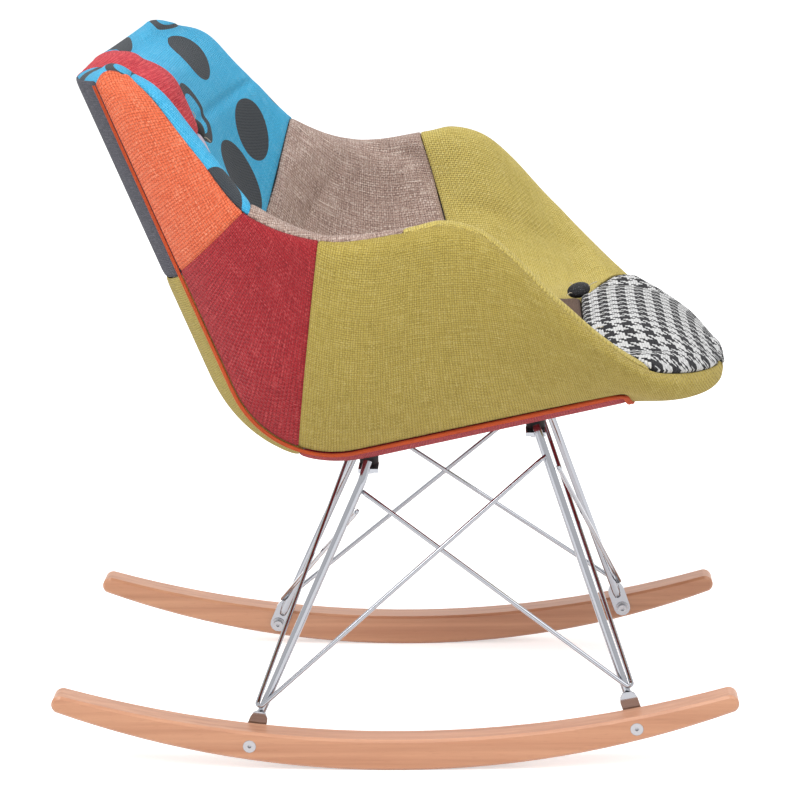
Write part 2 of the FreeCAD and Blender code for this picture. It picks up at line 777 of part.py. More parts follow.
# Mounts under the seat
up = V(0, 0, 1)
plates, spacers, seat_bolts, seat_washers, inserts = [], [], [], [], []
for leg in legs.values():
    centre = leg.screw
    bottom = leg.plate_top - plate_thickness
    boss_top = leg.plate_top + spacer_height + shell_inner + boss_height
    length = abs(leg.top.y - centre.y)
    low_y = min(leg.top.y, centre.y)
    blade = Part.makeBox(plate_width, length, plate_thickness, V(centre.x - plate_width / 2.0, low_y, bottom))
    foot = V(centre.x, centre.y, bottom)
    plate = blade.fuse(rod(plate_width, foot, up, plate_thickness)).removeSplitter()
    screw_hole = rod(rocker_bolt_diameter + hole_clearance, foot, up, boss_top - bottom)
    plate = plate.cut(screw_hole).cut(tube(leg.path, leg_diameter + 2.0 * weld_gap, round_sides))
    nodes["mount_plate_" + leg.name] = largest(plate)
    spacer = rod(spacer_diameter, V(centre.x, centre.y, leg.plate_top), up, boss_top - leg.plate_top)
    spacer = min(spacer.cut(below).Solids, key=lambda solid: solid.CenterOfMass.z)
    spacers.append(spacer.cut(screw_hole))
    washer_base = V(centre.x, centre.y, bottom - washer_thickness)
    seat_washers.append(
        ring(washer_diameter, rocker_bolt_diameter + hole_clearance, washer_base, up, washer_thickness)
    )
    seat_bolts.append(screw(washer_base, up, boss_top - washer_base.z - hole_clearance))
    insert_base = V(centre.x, centre.y, boss_top - insert_length)
    inserts.append(
        ring(insert_diameter, rocker_bolt_diameter + 2.0 * thread_clearance, insert_base, up, insert_length)
    )
    boss = rod(boss_diameter, foot, up, boss_top - bottom).cut(outside)
    shell = shell.fuse(largest(boss)).cut(screw_hole)
    shell = shell.cut(rod(insert_diameter + 2.0 * thread_clearance, insert_base, up, insert_length))
    cover = cover.cut(screw_hole)
    pocket = rod(boss_diameter + 2.0 * layer_gap, foot, up, boss_top - bottom + layer_gap)
    lining = lining.cut(pocket)
nodes["seat_shell"] = largest(shell)

# Outer cover in patches, with the panel inside the piping
notch = piping_diameter / 2.0 + piping_clearance
seam_turn = math.degrees(seam_gap / 2.0 / front_spine)
notch_turn = math.degrees(notch / front_spine)


def panel_space(margin, turn):
    """The space inside the piping, widened by a margin to the sides and a turn to the front."""
    half = panel_half_width + margin
    slab = half_space(1.0, -half).common(half_space(-1.0, -half))
    return slab.common(fan_wedge(past_top, panel_front_angle + turn))


panel = cover.common(panel_space(-notch, -notch_turn))
nodes["back_panel_grey"] = largest(panel.common(fan_wedge(past_top, grey_olive_angle - seam_turn)))
nodes["back_panel_olive"] = largest(
    panel.common(fan_wedge(grey_olive_angle + seam_turn, olive_red_angle - seam_turn))
)
nodes["bottom_panel_red"] = largest(panel.common(fan_wedge(olive_red_angle + seam_turn, panel_front_angle)))
skirt = cover.cut(panel_space(notch, notch_turn))
nodes["outer_cover_olive"] = largest(skirt.cut(behind(red_olive_seam, -seam_gap)))
for name, side in sides.items():
    half = skirt.common(half_space(side)).common(behind(red_olive_seam, seam_gap))
    nodes["outer_cover_orange_" + name] = largest(half.common(behind(orange_red_seam, seam_gap)))
    nodes["outer_cover_red_" + name] = largest(half.cut(behind(orange_red_seam, -seam_gap)))

# Piping
for name, side in sides.items():
    run = fan_line(side * panel_half_width, panel_rise + piping_sink, top_angle, panel_front_angle)
    nodes["piping_" + name] = tube(run, piping_diameter, cord_sides)
front_section = Section(panel_front_angle)
front_end = panel_half_width - piping_diameter / 2.0 - layer_gap
front_steps = [front_end * (k / bend_chords - 1.0) for k in range(2 * bend_chords + 1)]
front_run = [place(panel_front_angle, *front_section.panel_point(y, piping_sink)) for y in front_steps]
nodes["piping_front"] = tube(front_run, piping_diameter, cord_sides)

# Tuft buttons, each in a round dimple of the lining
buttons = []
for angle, y in ((red_lilac_angle, back_button_y), (brown_check_angle, seat_button_y)):
    reach = Section(angle).groove()[1]
    for side in sides.values():
        base = place(angle, side * y, reach + tuft_depth)
        axis = (place(angle, side * y, reach) - base).normalize()
        seat_width = button_diameter + 2.0 * layer_gap
        flare = (tuft_diameter - seat_width) / tuft_depth
        steps = [(-layer_gap, seat_width), (tuft_reach, seat_width + flare * tuft_reach)]
        lining = lining.cut(turned(base, axis, steps))
        buttons.append(turned(base, axis, [(button_height * h, button_diameter * w) for h, w in button_dome]))

# Lining in patches
column = lining.common(column_tool(-seam_gap / 2.0))
cuts = [past_top, red_lilac_angle, lilac_brown_angle, brown_check_angle, past_nose]
column_names = ("back_pad_red", "back_pad_lilac", "seat_pad_brown", "seat_pad_houndstooth")
for name, first, last in zip(column_names, cuts, cuts[1:]):
    nodes[name] = largest(column.common(fan_wedge(first + seam_turn, last - seam_turn)))
flanks = lining.cut(column_tool(seam_gap / 2.0))
for name, side in sides.items():
    flank = flanks.common(half_space(side))
    nodes["wing_pad_blue_" + name] = largest(flank.common(behind(blue_taupe_seam, seam_gap)))
    rest = flank.cut(behind(blue_taupe_seam, -seam_gap))
    nodes["arm_pad_taupe_" + name] = largest(rest.common(behind(taupe_olive_seam, seam_gap)))
    nodes["arm_pad_olive_" + name] = largest(rest.cut(behind(taupe_olive_seam, -seam_gap)))

groups = {
    "rocker_bolts": rocker_bolts,
    "rocker_washers": rocker_washers,
    "sleeve_nuts": sleeve_nuts,
    "rubber_spacers": spacers,
    "seat_bolts": seat_bolts,
    "seat_washers": seat_washers,
    "threaded_inserts": inserts,
    "tuft_buttons": buttons,
}
for name, solids in groups.items():
    nodes[name] = Part.makeCompound(solids)

os.makedirs("parts", exist_ok=True)
for name, shape in nodes.items():
    shape.exportStep("parts/" + name + ".step")
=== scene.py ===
import math

import bmesh
import bpy
from mathutils import Matrix, Vector


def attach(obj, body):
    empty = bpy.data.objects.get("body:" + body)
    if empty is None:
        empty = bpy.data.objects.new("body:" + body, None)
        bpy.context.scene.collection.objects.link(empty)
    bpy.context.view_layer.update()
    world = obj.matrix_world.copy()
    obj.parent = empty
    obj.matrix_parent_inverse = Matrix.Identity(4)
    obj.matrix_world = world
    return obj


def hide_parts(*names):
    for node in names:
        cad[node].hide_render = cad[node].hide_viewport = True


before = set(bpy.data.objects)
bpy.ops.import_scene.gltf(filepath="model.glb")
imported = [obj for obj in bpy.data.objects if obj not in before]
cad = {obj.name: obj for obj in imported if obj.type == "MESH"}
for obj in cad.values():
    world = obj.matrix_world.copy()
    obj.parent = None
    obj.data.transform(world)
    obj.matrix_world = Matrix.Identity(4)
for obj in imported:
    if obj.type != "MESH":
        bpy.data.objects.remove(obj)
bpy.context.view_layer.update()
scene = bpy.context.scene
scene.view_settings.view_transform = "Standard"

# The seat's shape, in millimetres and degrees. It follows the part's source, with fuller padding and slimmer
# wings. A pair of values is for the top of the back and for the seat
fan_x, fan_z = 100.0, 760.0
corner_x, corner_z = -144.0, 256.0
recline, rise = math.radians(22.5), math.radians(12.2)
bend_radius = 147.0
lip_x, lip_radius = 336.0, 28.0
top_angle = 9.6
roll_angle = top_angle + 0.3
panel_half_width, panel_rise, panel_front_angle = 195.0, 43.0, 108.5
panel_share, column_share = 0.6, 0.19
side_bulge = 0.09
rim_points = [
    (-243, 695, 198), (-219, 678, 229), (-174, 625, 256), (-128, 570, 281), (-58, 544, 299), (18, 551, 303),
    (52, 556, 301), (88, 545, 297), (124, 515, 290), (164, 474, 280), (207, 438, 263), (250, 405, 230),
    (286, 390, 182), (318, 380, 112), (333, 374, 40),
]
blend_start, blend_span = 18.0, 44.0
column_half_width, column_depth, column_crown = (62.0, 106.0), (68.0, 76.0), (17.0, 13.0)
column_limit = 0.8
side_hollow, rim_turn, rim_depth = (0.05, 0.235), (12.0, 84.0), (12.0, 26.0)
rim_crest, rim_fold = (3.0, 15.0), (0.15, 1.0)
back_rounding, seat_rounding, rounding_change = (1.5, 0.85), (2.0, 1.4), 60.0
top_thin_from, top_thin_over, top_thin_least = top_angle + 9.0, 7.0, 0.3
nose_thin_from, nose_thin_over = 111.5, 10.05
# Each bulge has its fan angle, its width and its height
corner_bulge, arm_swell = (13.5, 5.0, 9.0), (98.0, 12.0, 6.0)
corner_reach = 0.8
column_steps, side_steps, crest_steps, fold_steps = 12, 24, 12, 5
side_smoothing, flare_smoothing = 10, 60
flare_steps = (
    (0.0, 0.0), (0.15, 0.17), (0.35, 0.42), (0.65, 0.68), (0.88, 0.87), (0.97, 0.97), (0.98, 1.0), (2.0, 1.0)
)
flare_shifts = (-0.06, -0.03, 0.0, 0.03, 0.06)

# Seams, as fan angles or as lines of the side view, and how far cloth laps over them, in degrees
seam_lap, top_lap = 0.12, 0.7
seam_range = (12.0, 104.0)
top_zone = 20.0
top_drop, wing_lift, rim_lift = (2.8, 1.6), 3.6, 0.4
orange_red_seam = ((-128, 579), (-199, 505))
red_olive_seam = ((-60, 553), (-90, 328))
blue_taupe_seam = ((-124, 577), (-142, 500))
taupe_olive_seam = ((19, 561), (46, 470))
blue_fold_angle, taupe_fold_angle = 26.7, 54.0
red_lilac_angle, lilac_brown_angle, brown_check_angle, flare_end_angle = 27.3, 52.0, 104.8, 113.8
grey_olive_angle, olive_red_angle = 40.9, 67.0

# Padding and cloth; the padding's depth and the widths of seams are in millimetres, the rest in metres
lining_depth, pad_seam_width, cloth_seam_width = 10.3, 13.0, 6.0
back_fullness, front_fullness, lip_fullness = 0.019, 0.013, 0.005
pad_wall, cloth_wall, shell_wall, pad_fill = 0.007, 0.003, 0.004, 0.75
tuft_depth, tuft_width = 0.011, 0.022
fold_depth, fold_width, fold_fade = 0.0036, 0.8, 6
roll_round, roll_end = 0.45, 0.97
# Points in the seat's hollow, in metres, that tell the inner side of cloth from the outer
face_heart, seam_heart, fold_heart, lip_heart, fan_heart = [
    Vector((fan_x / 1000.0, 0.0, height)) for height in (0.58, 0.62, 0.64, 0.6, fan_z / 1000.0)
]

back_normal = (math.cos(recline), math.sin(recline))
seat_normal = (-math.sin(rise), math.cos(rise))
bend_scale = bend_radius / (1.0 + back_normal[0] * seat_normal[0] + back_normal[1] * seat_normal[1])
bend_centre = [
    c + bend_scale * (b + s) for c, b, s in zip((corner_x, corner_z), back_normal, seat_normal)
]
lip_centre = [lip_x - lip_radius, 0.0]
lip_centre[1] = corner_z + (lip_centre[0] - corner_x) * math.tan(rise) + lip_radius / math.cos(rise)
both_sides = ((1.0, "left"), (-1.0, "right"))


def angle_of(x, z):
    return math.degrees(math.atan2(fan_z - z, fan_x - x))


def ray(angle):
    turn = math.radians(angle)
    return -math.cos(turn), -math.sin(turn)


def place(angle, point):
    """A point (half width, reach) of a fan plane, in metres."""
    dx, dz = ray(angle)
    return Vector((fan_x + point[1] * dx, point[0], fan_z + point[1] * dz)) / 1000.0


def mix(a, b, share):
    return a + (b - a) * share


def blend(pair, angle):
    """From the value at the top of the back to the value at the seat."""
    share = min(max((angle - blend_start) / blend_span, 0.0), 1.0)
    return mix(pair[0], pair[1], share * share * (3.0 - 2.0 * share))


def bell(value, centre, width):
    return math.exp(-((value - centre) / width) ** 2)


def between(a, b, share):
    return a[0] + (b[0] - a[0]) * share, a[1] + (b[1] - a[1]) * share


def smoothed(a, b, c):
    return tuple(0.25 * p + 0.5 * q + 0.25 * r for p, q, r in zip(a, b, c))


def spread(columns):
    """Places across a row, from -1 to 1."""
    return [2.0 * i / columns - 1.0 for i in range(columns + 1)]


def running_lengths(points):
    lengths = [0.0]
    for a, b in zip(points, points[1:]):
        lengths.append(lengths[-1] + math.dist(a, b))
    return lengths


def beside(a, b, distance, leftwards):
    """The point beside the middle of a line; a test of the line's direction picks the side."""
    length = max(math.dist(a, b), 0.01)
    dx, dy = (b[0] - a[0]) / length, (b[1] - a[1]) / length
    off = (-dy, dx) if leftwards(dx, dy) else (dy, -dx)
    return tuple(0.5 * (p + q) + distance * o for p, q, o in zip(a, b, off))


def circle_through(a, b, c):
    d = 2.0 * (a[0] * (b[1] - c[1]) + b[0] * (c[1] - a[1]) + c[0] * (a[1] - b[1]))
    q = [p[0] ** 2 + p[1] ** 2 for p in (a, b, c)]
    x = (q[0] * (b[1] - c[1]) + q[1] * (c[1] - a[1]) + q[2] * (a[1] - b[1])) / d
    y = (q[0] * (c[0] - b[0]) + q[1] * (a[0] - c[0]) + q[2] * (b[0] - a[0])) / d
    return (x, y), math.hypot(a[0] - x, a[1] - y)


def arc(start, middle, end, count):
    """Points along the arc through three points, both ends included; a nearly straight one is a line."""
    chord = math.dist(start, end)
    bow = math.dist(between(start, end, 0.5), middle)
    if chord < 0.5 or bow < 0.02 * chord:
        return [between(start, end, k / count) for k in range(count + 1)]
    centre, radius = circle_through(start, middle, end)
    first, half, last = [math.atan2(p[1] - centre[1], p[0] - centre[0]) for p in (start, middle, end)]
    turn = math.remainder(half - first, 2 * math.pi) + math.remainder(last - half, 2 * math.pi)
    steps = [first + turn * k / count for k in range(count + 1)]
    return [(centre[0] + radius * math.cos(t), centre[1] + radius * math.sin(t)) for t in steps]


def circle_reach(centre, radius, angle):
    dx, dz = ray(angle)
    ox, oz = fan_x - centre[0], fan_z - centre[1]
    half = ox * dx + oz * dz
    return -half + math.sqrt(max(half ** 2 - ox ** 2 - oz ** 2 + radius ** 2, 0.0))


def line_reach(normal, depth, angle):
    dx, dz = ray(angle)
    height = normal[0] * (fan_x - corner_x) + normal[1] * (fan_z - corner_z)
    return (depth - height) / (normal[0] * dx + normal[1] * dz)


def spine_reach(angle, depth):
    """How far the middle of the shell's outside lies from the fan's axis."""
    radius = bend_radius - depth
    start = [c - radius * n for c, n in zip(bend_centre, back_normal)]
    end = [c - radius * n for c, n in zip(bend_centre, seat_normal)]
    lip_start = angle_of(*[c - lip_radius * n for c, n in zip(lip_centre, seat_normal)])
    if angle <= angle_of(*start):
        return line_reach(back_normal, depth, angle)
    if angle <= angle_of(*end):
        return circle_reach(bend_centre, radius, angle)
    if angle <= lip_start or depth > 0.0:
        return line_reach(seat_normal, depth, angle)
    return circle_reach(lip_centre, lip_radius, angle)


def rim_point(place_on_rim):
    """A smooth line through the rim's points; whole numbers are the points themselves."""
    i = min(max(int(place_on_rim), 0), len(rim_points) - 2)
    t = place_on_rim - i
    p = [rim_points[min(max(k, 0), len(rim_points) - 1)] for k in (i - 1, i, i + 1, i + 2)]
    return [
        0.5 * (2 * b + (c - a) * t + (2 * a - 5 * b + 4 * c - d) * t * t + (3 * b - a - 3 * c + d) * t ** 3)
        for a, b, c, d in zip(*p)
    ]


def rim_place(angle):
    low, high = 0.0, len(rim_points) - 1.0
    for _ in range(30):
        middle = 0.5 * (low + high)
        x, z, _half = rim_point(middle)
        low, high = (middle, high) if angle_of(x, z) < angle else (low, middle)
    return low


def rim_at(angle):
    x, z, half = rim_point(rim_place(angle))
    return half, math.hypot(x - fan_x, z - fan_z)


def front_angles(first, count):
    """Fan angles from one near the front to the nose, evenly spaced along the rim."""
    start = rim_place(first)
    spots = [rim_point(mix(start, len(rim_points) - 1.0, j / count)) for j in range(count + 1)]
    return [max(angle_of(x, z), first) for x, z, _half in spots]


front_rim = rim_at(panel_front_angle)
lip_width_share = panel_half_width / front_rim[0]
lip_rise_share = (spine_reach(panel_front_angle, 0.0) - spine_reach(panel_front_angle, panel_rise)) / (
    spine_reach(panel_front_angle, 0.0) - front_rim[1]
)
known_sections = {}


def flare_width(way):
    """How far the front patch has widened from the column to the rim, part of the way along its sides."""
    total = 0.0
    for shift in flare_shifts:
        at = min(max(way + shift * (1.0 - way), 0.0), 1.0)
        for (t0, w0), (t1, w1) in zip(flare_steps, flare_steps[1:]):
            if t0 <= at < t1:
                total += mix(w0, w1, (at - t0) / (t1 - t0)) / len(flare_shifts)
    return total


class Section:
    """One cut through the seat in a fan plane; its points are (half width, reach)."""

    def __init__(self, angle):
        self.angle = angle
        self.spine = spine_reach(angle, 0.0)
        self.rim = rim_at(angle)
        if angle <= panel_front_angle:
            self.edge = (panel_half_width, spine_reach(angle, panel_rise))
        else:
            rise_here = lip_rise_share * (self.spine - self.rim[1])
            self.edge = (lip_width_share * self.rim[0], self.spine - rise_here)
        bow = side_bulge * math.dist(self.edge, self.rim)
        bulge = beside(self.edge, self.rim, bow, lambda dx, dy: dy < 0.0)
        self.panel_centre, self.panel_radius = circle_through(
            (-self.edge[0], self.edge[1]), (0.0, self.spine), self.edge
        )
        self.wall_centre, self.wall_radius = circle_through(self.edge, bulge, self.rim)
        self.wall_turns = [
            math.atan2(p[1] - self.wall_centre[1], p[0] - self.wall_centre[0]) for p in (self.edge, self.rim)
        ]
        self.line = None

    def panel_point(self, y, depth):
        return y, self.panel_centre[1] + math.sqrt(max((self.panel_radius - depth) ** 2 - y * y, 0.0))

    def wall_point(self, share, depth):
        turn = mix(self.wall_turns[0], self.wall_turns[1], share)
        radius = self.wall_radius - depth
        return self.wall_centre[0] + radius * math.cos(turn), self.wall_centre[1] + radius * math.sin(turn)

    def skin_point(self, share, depth):
        """From the middle of the back at 0, past the piping, to the rim at 1."""
        if share < panel_share:
            return self.panel_point(self.edge[0] * share / panel_share, depth)
        return self.wall_point((share - panel_share) / (1.0 - panel_share), depth)

    def roundness(self):
        """How plump the padding is: it thins out to the top edge and to the nose."""
        if self.angle < top_thin_from:
            rest = min((top_thin_from - self.angle) / top_thin_over, 1.0)
            return mix(top_thin_least, 1.0, math.sqrt(1.0 - rest ** 2))
        if self.angle > nose_thin_from:
            return math.sqrt(max(1.0 - ((self.angle - nose_thin_from) / nose_thin_over) ** 2, 0.0))
        return 1.0

    def lining(self):
        """Points of the padding's face from the middle over the rim's crest, with the places of its seams."""
        if self.line:
            return self.line
        plump = self.roundness()
        depth = blend(column_depth, self.angle)
        y = min(blend(column_half_width, self.angle), column_limit * self.edge[0])
        groove_power, crown_power = back_rounding if self.angle < rounding_change else seat_rounding
        groove = self.panel_point(y, lining_depth + (depth - lining_depth) * plump ** groove_power)
        crown_depth = depth + blend(column_crown, self.angle) - lining_depth
        crown = 0.0, self.spine - lining_depth - crown_depth * plump ** crown_power
        turn = math.radians(blend(rim_turn, self.angle))
        corner, swell = [bell(self.angle, bulge[0], bulge[1]) for bulge in (corner_bulge, arm_swell)]
        reach = blend(rim_depth, self.angle) * max(plump, corner_reach * corner)
        start = self.wall_point(1.0, lining_depth)
        end = start[0] - reach * math.sin(turn), start[1] - reach * math.cos(turn)
        height = blend(rim_crest, self.angle) * plump + corner_bulge[2] * corner + arm_swell[2] * swell
        crest = beside(start, end, height, lambda dx, dy: -dy >= dx)
        sag = blend(side_hollow, self.angle) * max(math.dist(groove, end), 0.01) * plump
        hollow = beside(groove, end, sag, lambda dx, dy: dx > 0.0)
        column = arc((-groove[0], groove[1]), crown, groove, 2 * column_steps)[column_steps:]
        side = arc(groove, hollow, end, side_steps)[:-1] + arc(end, crest, self.rim, crest_steps)
        for _ in range(side_smoothing):
            for i in range(1, len(side) - 1):
                side[i] = smoothed(*side[i - 1:i + 2])
        points = column + side[1:]
        flare = (self.angle - brown_check_angle) / (flare_end_angle - brown_check_angle)
        flare = min(max(flare, 0.0), 1.0)
        for _ in range(int(flare_smoothing * flare)):
            before = [(-points[1][0], points[1][1])] + points
            for i in range(len(points) - 1):
                points[i] = smoothed(*before[i:i + 3])
        lengths = running_lengths(points)
        rim_seam = mix(lengths[-1], lengths[-fold_steps], blend(rim_fold, self.angle))
        edge = mix(lengths[column_steps], rim_seam, flare_width(flare))
        self.line = points, lengths, edge, rim_seam
        return self.line

    def lining_point(self, length):
        points, lengths = self.lining()[:2]
        length = min(max(length, 0.0), lengths[-1])
        for i in range(len(lengths) - 1):
            if length <= lengths[i + 1] or i == len(lengths) - 2:
                step = max(lengths[i + 1] - lengths[i], 1e-6)
                return between(points[i], points[i + 1], (length - lengths[i]) / step)


def section(angle):
    key = round(angle, 3)
    if key not in known_sections:
        known_sections[key] = Section(key)
    return known_sections[key]


def wall(angle, share):
    """The outer cover, from the piping at 0 over the rim to its seam with the lining at 1."""
    cut = section(angle)
    _points, lengths, _edge, rim_seam = cut.lining()
    upright = cut.wall_radius * abs(cut.wall_turns[1] - cut.wall_turns[0])
    way = share * (upright + lengths[-1] - rim_seam)
    if way <= upright:
        return place(angle, cut.wall_point(way / upright, 0.0))
    return place(angle, cut.lining_point(lengths[-1] + upright - way))


def skin(angle, share):
    """The whole outside, from the middle of the back at 0, past the piping, to the rim's seam at 1."""
    if share < panel_share:
        return place(angle, section(angle).skin_point(share, 0.0))
    return wall(angle, (share - panel_share) / (1.0 - panel_share))


def side_face(angle, share):
    """The lining beside the middle column, from its seam at 0 to the rim's seam at 1."""
    cut = section(angle)
    _points, _lengths, edge, rim_seam = cut.lining()
    return place(angle, cut.lining_point(mix(edge, rim_seam, share)))


def face_point(angle, t):
    """A point of the middle column, from one of its seams at -1 to the other at 1."""
    cut = section(angle)
    y, reach = cut.lining_point(abs(t) * cut.lining()[2])
    return place(angle, (math.copysign(y, t), reach))


def seam_angle(seam, share, surface):
    """The fan angle at which a seam, drawn on the side view, crosses a surface."""
    (x0, z0), (x1, z1) = seam
    low, high = seam_range
    for _ in range(16):
        middle = 0.5 * (low + high)
        p = surface(middle, share) * 1000.0
        ahead = (p.x - x0) * (z1 - z0) - (p.z - z0) * (x1 - x0)
        low, high = (middle, high) if ahead > 0.0 else (low, middle)
    return 0.5 * (low + high)


# Objects
def add_object(name, data):
    piece = bpy.data.objects.new(name, data)
    scene.collection.objects.link(piece)
    return piece


def mesh_object(name, bm):
    """An object made of a bmesh, which is used up."""
    mesh = bpy.data.meshes.new(name)
    bm.to_mesh(mesh)
    bm.free()
    return add_object(name, mesh)


def smooth_faces(faces):
    for face in faces:
        face.smooth = True


def paint(piece, material):
    piece.data.materials.clear()
    piece.data.materials.append(material)


def refine(piece, levels):
    fine = piece.modifiers.new("Fine", "SUBSURF")
    fine.levels = levels
    fine.render_levels = levels


# Cloth pieces are grids bent over the seat's surfaces
def grid_piece(name, points):
    """A cloth grid through rows of points, with a UV map in metres."""
    rows, columns = len(points) - 1, len(points[0]) - 1
    middle = columns // 2
    along = running_lengths([row[middle] for row in points])
    across = [running_lengths(row) for row in points]
    bm = bmesh.new()
    bmesh.ops.create_grid(bm, x_segments=columns, y_segments=rows, size=0.5)
    spots = {v: (round((v.co.x + 0.5) * columns), round((v.co.y + 0.5) * rows)) for v in bm.verts}
    uv = bm.loops.layers.uv.new("UVMap")
    for face in bm.faces:
        for loop in face.loops:
            i, j = spots[loop.vert]
            loop[uv].uv = (across[j][i] - across[j][middle], along[j])
    smooth_faces(bm.faces)
    for v, (i, j) in spots.items():
        v.co = points[j][i]
    return mesh_object(name, bm)


def turn_faces(piece, towards_hollow):
    """Turn the whole grid over where it looks the wrong way."""
    bm = bmesh.new()
    bm.from_mesh(piece.data)
    lean = sum(f.normal.dot(face_heart - f.calc_center_median()) * f.calc_area() for f in bm.faces)
    if (lean > 0.0) != towards_hollow:
        bmesh.ops.reverse_faces(bm, faces=bm.faces)
    bm.to_mesh(piece.data)
    bm.free()


def mirrored(rows, side):
    return [[Vector((p.x, side * p.y, p.z)) for p in row] for row in rows]


def lay_rows(first_angles, last_angles, face, count, columns):
    """Rows of points between two seams, each given by its fan angle in every column."""
    rows = []
    for j in range(count + 1):
        angles = [mix(first, last, j / count) for first, last in zip(first_angles, last_angles)]
        rows.append([face(angle, i / columns) for i, angle in enumerate(angles)])
    return rows


def top_line(share):
    """How far below the back's top edge the cloth ends, in degrees, from the middle at 0 to the rim at 1."""
    if share < panel_share:
        return mix(top_drop[0], top_drop[1], share / panel_share)
    way = (share - panel_share) / (1.0 - panel_share)
    return top_drop[1] - wing_lift * way * (1.0 - way) - rim_lift * way ** 4


def seam_ends(first, last, surface, columns, top_from=panel_share):
    """Fan angles of two seams in every column; each seam is an angle or a line of the side view."""
    shares = [i / columns for i in range(columns + 1)]
    ends = []
    for seam, lap in ((first, -seam_lap), (last, seam_lap)):
        if not isinstance(seam, float):
            ends.append([seam_angle(seam, share, surface) + lap for share in shares])
        elif seam < top_zone:
            ends.append([seam + top_line(mix(top_from, 1.0, share)) for share in shares])
        else:
            ends.append([seam] * len(shares))
    return ends


def sink_edges(rows, depth, width, open_sides=()):
    """Draw the cloth away from the hollow along its seams; depth and width are in millimetres."""
    across = [running_lengths(row) for row in rows]
    along = [running_lengths(column) for column in zip(*rows)]
    sunk = []
    for j, row in enumerate(rows):
        sunk.append([])
        for i, p in enumerate(row):
            u, v = across[j], along[i]
            sides = {"first": u[i], "last": u[-1] - u[i], "start": v[j], "end": v[-1] - v[j]}
            nearest = min(1000.0 * d for name, d in sides.items() if name not in open_sides)
            dip = depth * max(1.0 - nearest / width, 0.0) ** 2
            sideways = row[min(i + 1, len(row) - 1)] - row[max(i - 1, 0)]
            onwards = rows[min(j + 1, len(rows) - 1)][i] - rows[max(j - 1, 0)][i]
            normal = sideways.cross(onwards)
            if normal.length < 1e-12:
                dip = 0.0
            normal.normalize()
            if normal.dot(p - seam_heart) < 0.0:
                normal.negate()
            sunk[-1].append(p + normal * (dip / 1000.0))
    return sunk


def button_spots():
    """Centres of the four covered buttons, from the solids; those of the back stand on its fuller padding."""
    corners = [v.co for v in cad["tuft_buttons"].data.vertices]
    spots = []
    for front in (False, True):
        for left in (False, True):
            found = [co for co in corners if (co.x > 0) == front and (co.y > 0) == left]
            spot = sum(found, Vector()) / len(found)
            if not front:
                inwards = Vector((fan_heart.x, spot.y, fan_heart.z)) - spot
                spot += inwards.normalized() * back_fullness
            spots.append(spot)
    return spots


buttons = button_spots()


def tuft(rows):
    """Pull the padding in under the buttons."""
    for p in (p for row in rows for p in row):
        for spot in buttons:
            away = Vector((p.x - fan_heart.x, 0.0, p.z - fan_heart.z)).normalized()
            p += away * tuft_depth * bell((p - spot).length, 0.0, tuft_width)
    return rows


puff_frames, button_hold = 20, 0.02
puff_settings = {
    "quality": 4, "mass": 0.2, "tension_stiffness": 12.0, "compression_stiffness": 12.0,
    "bending_stiffness": 0.4, "vertex_group_mass": "sewn", "use_pressure": True, "uniform_pressure_force": 4.0,
}


def puff(piece, cap):
    mesh = piece.data
    bm = bmesh.new()
    bm.from_mesh(mesh)
    sewn = [v.index for v in bm.verts if v.is_boundary]
    sewn += [v.index for v in bm.verts if any((v.co - s).length < button_hold for s in buttons)]
    bm.free()
    held = piece.vertex_groups.new(name="sewn")
    held.add(sorted(set(sewn)), 1.0, "REPLACE")
    before = [v.co.copy() for v in mesh.vertices]
    cloth = piece.modifiers.new("Puff", "CLOTH")
    for key, value in puff_settings.items():
        setattr(cloth.settings, key, value)
    cloth.settings.effector_weights.gravity = 0.0
    cloth.collision_settings.use_collision = False
    for number in range(1, puff_frames + 1):
        scene.frame_set(number)
    after = piece.evaluated_get(bpy.context.evaluated_depsgraph_get()).data
    moved = [v.co.copy() for v in after.vertices]
    piece.modifiers.remove(cloth)
    piece.vertex_groups.remove(held)
    scene.frame_set(1)
    for v, old, new in zip(mesh.vertices, before, moved):
        step = new - old
        if step.length > cap:
            step *= cap / step.length
        v.co = old + step


def thicken(piece, thickness, levels=1):
    """Wall of the pad or cloth behind its face, with its facets rounded."""
    wall_of = piece.modifiers.new("Wall", "SOLIDIFY")
    wall_of.thickness = thickness
    wall_of.offset = -1.0
    wall_of.use_even_offset = False
    wall_of.use_rim = True
    refine(piece, levels)


def dress(piece, material, nodes):
    """Give a piece its material, attach it to the root body and hide the nodes that it stands in for."""
    paint(piece, material)
    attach(piece, "root")
    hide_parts(*nodes)


# Materials; colours are written as sRGB bytes
def srgb(colour):
    parts = [c / 255.0 / 12.92 if c < 11 else ((c / 255.0 + 0.055) / 1.055) ** 2.4 for c in colour]
    return (*parts, 1.0)


def darker(colour, share):
    return tuple(int(c * share) for c in colour)


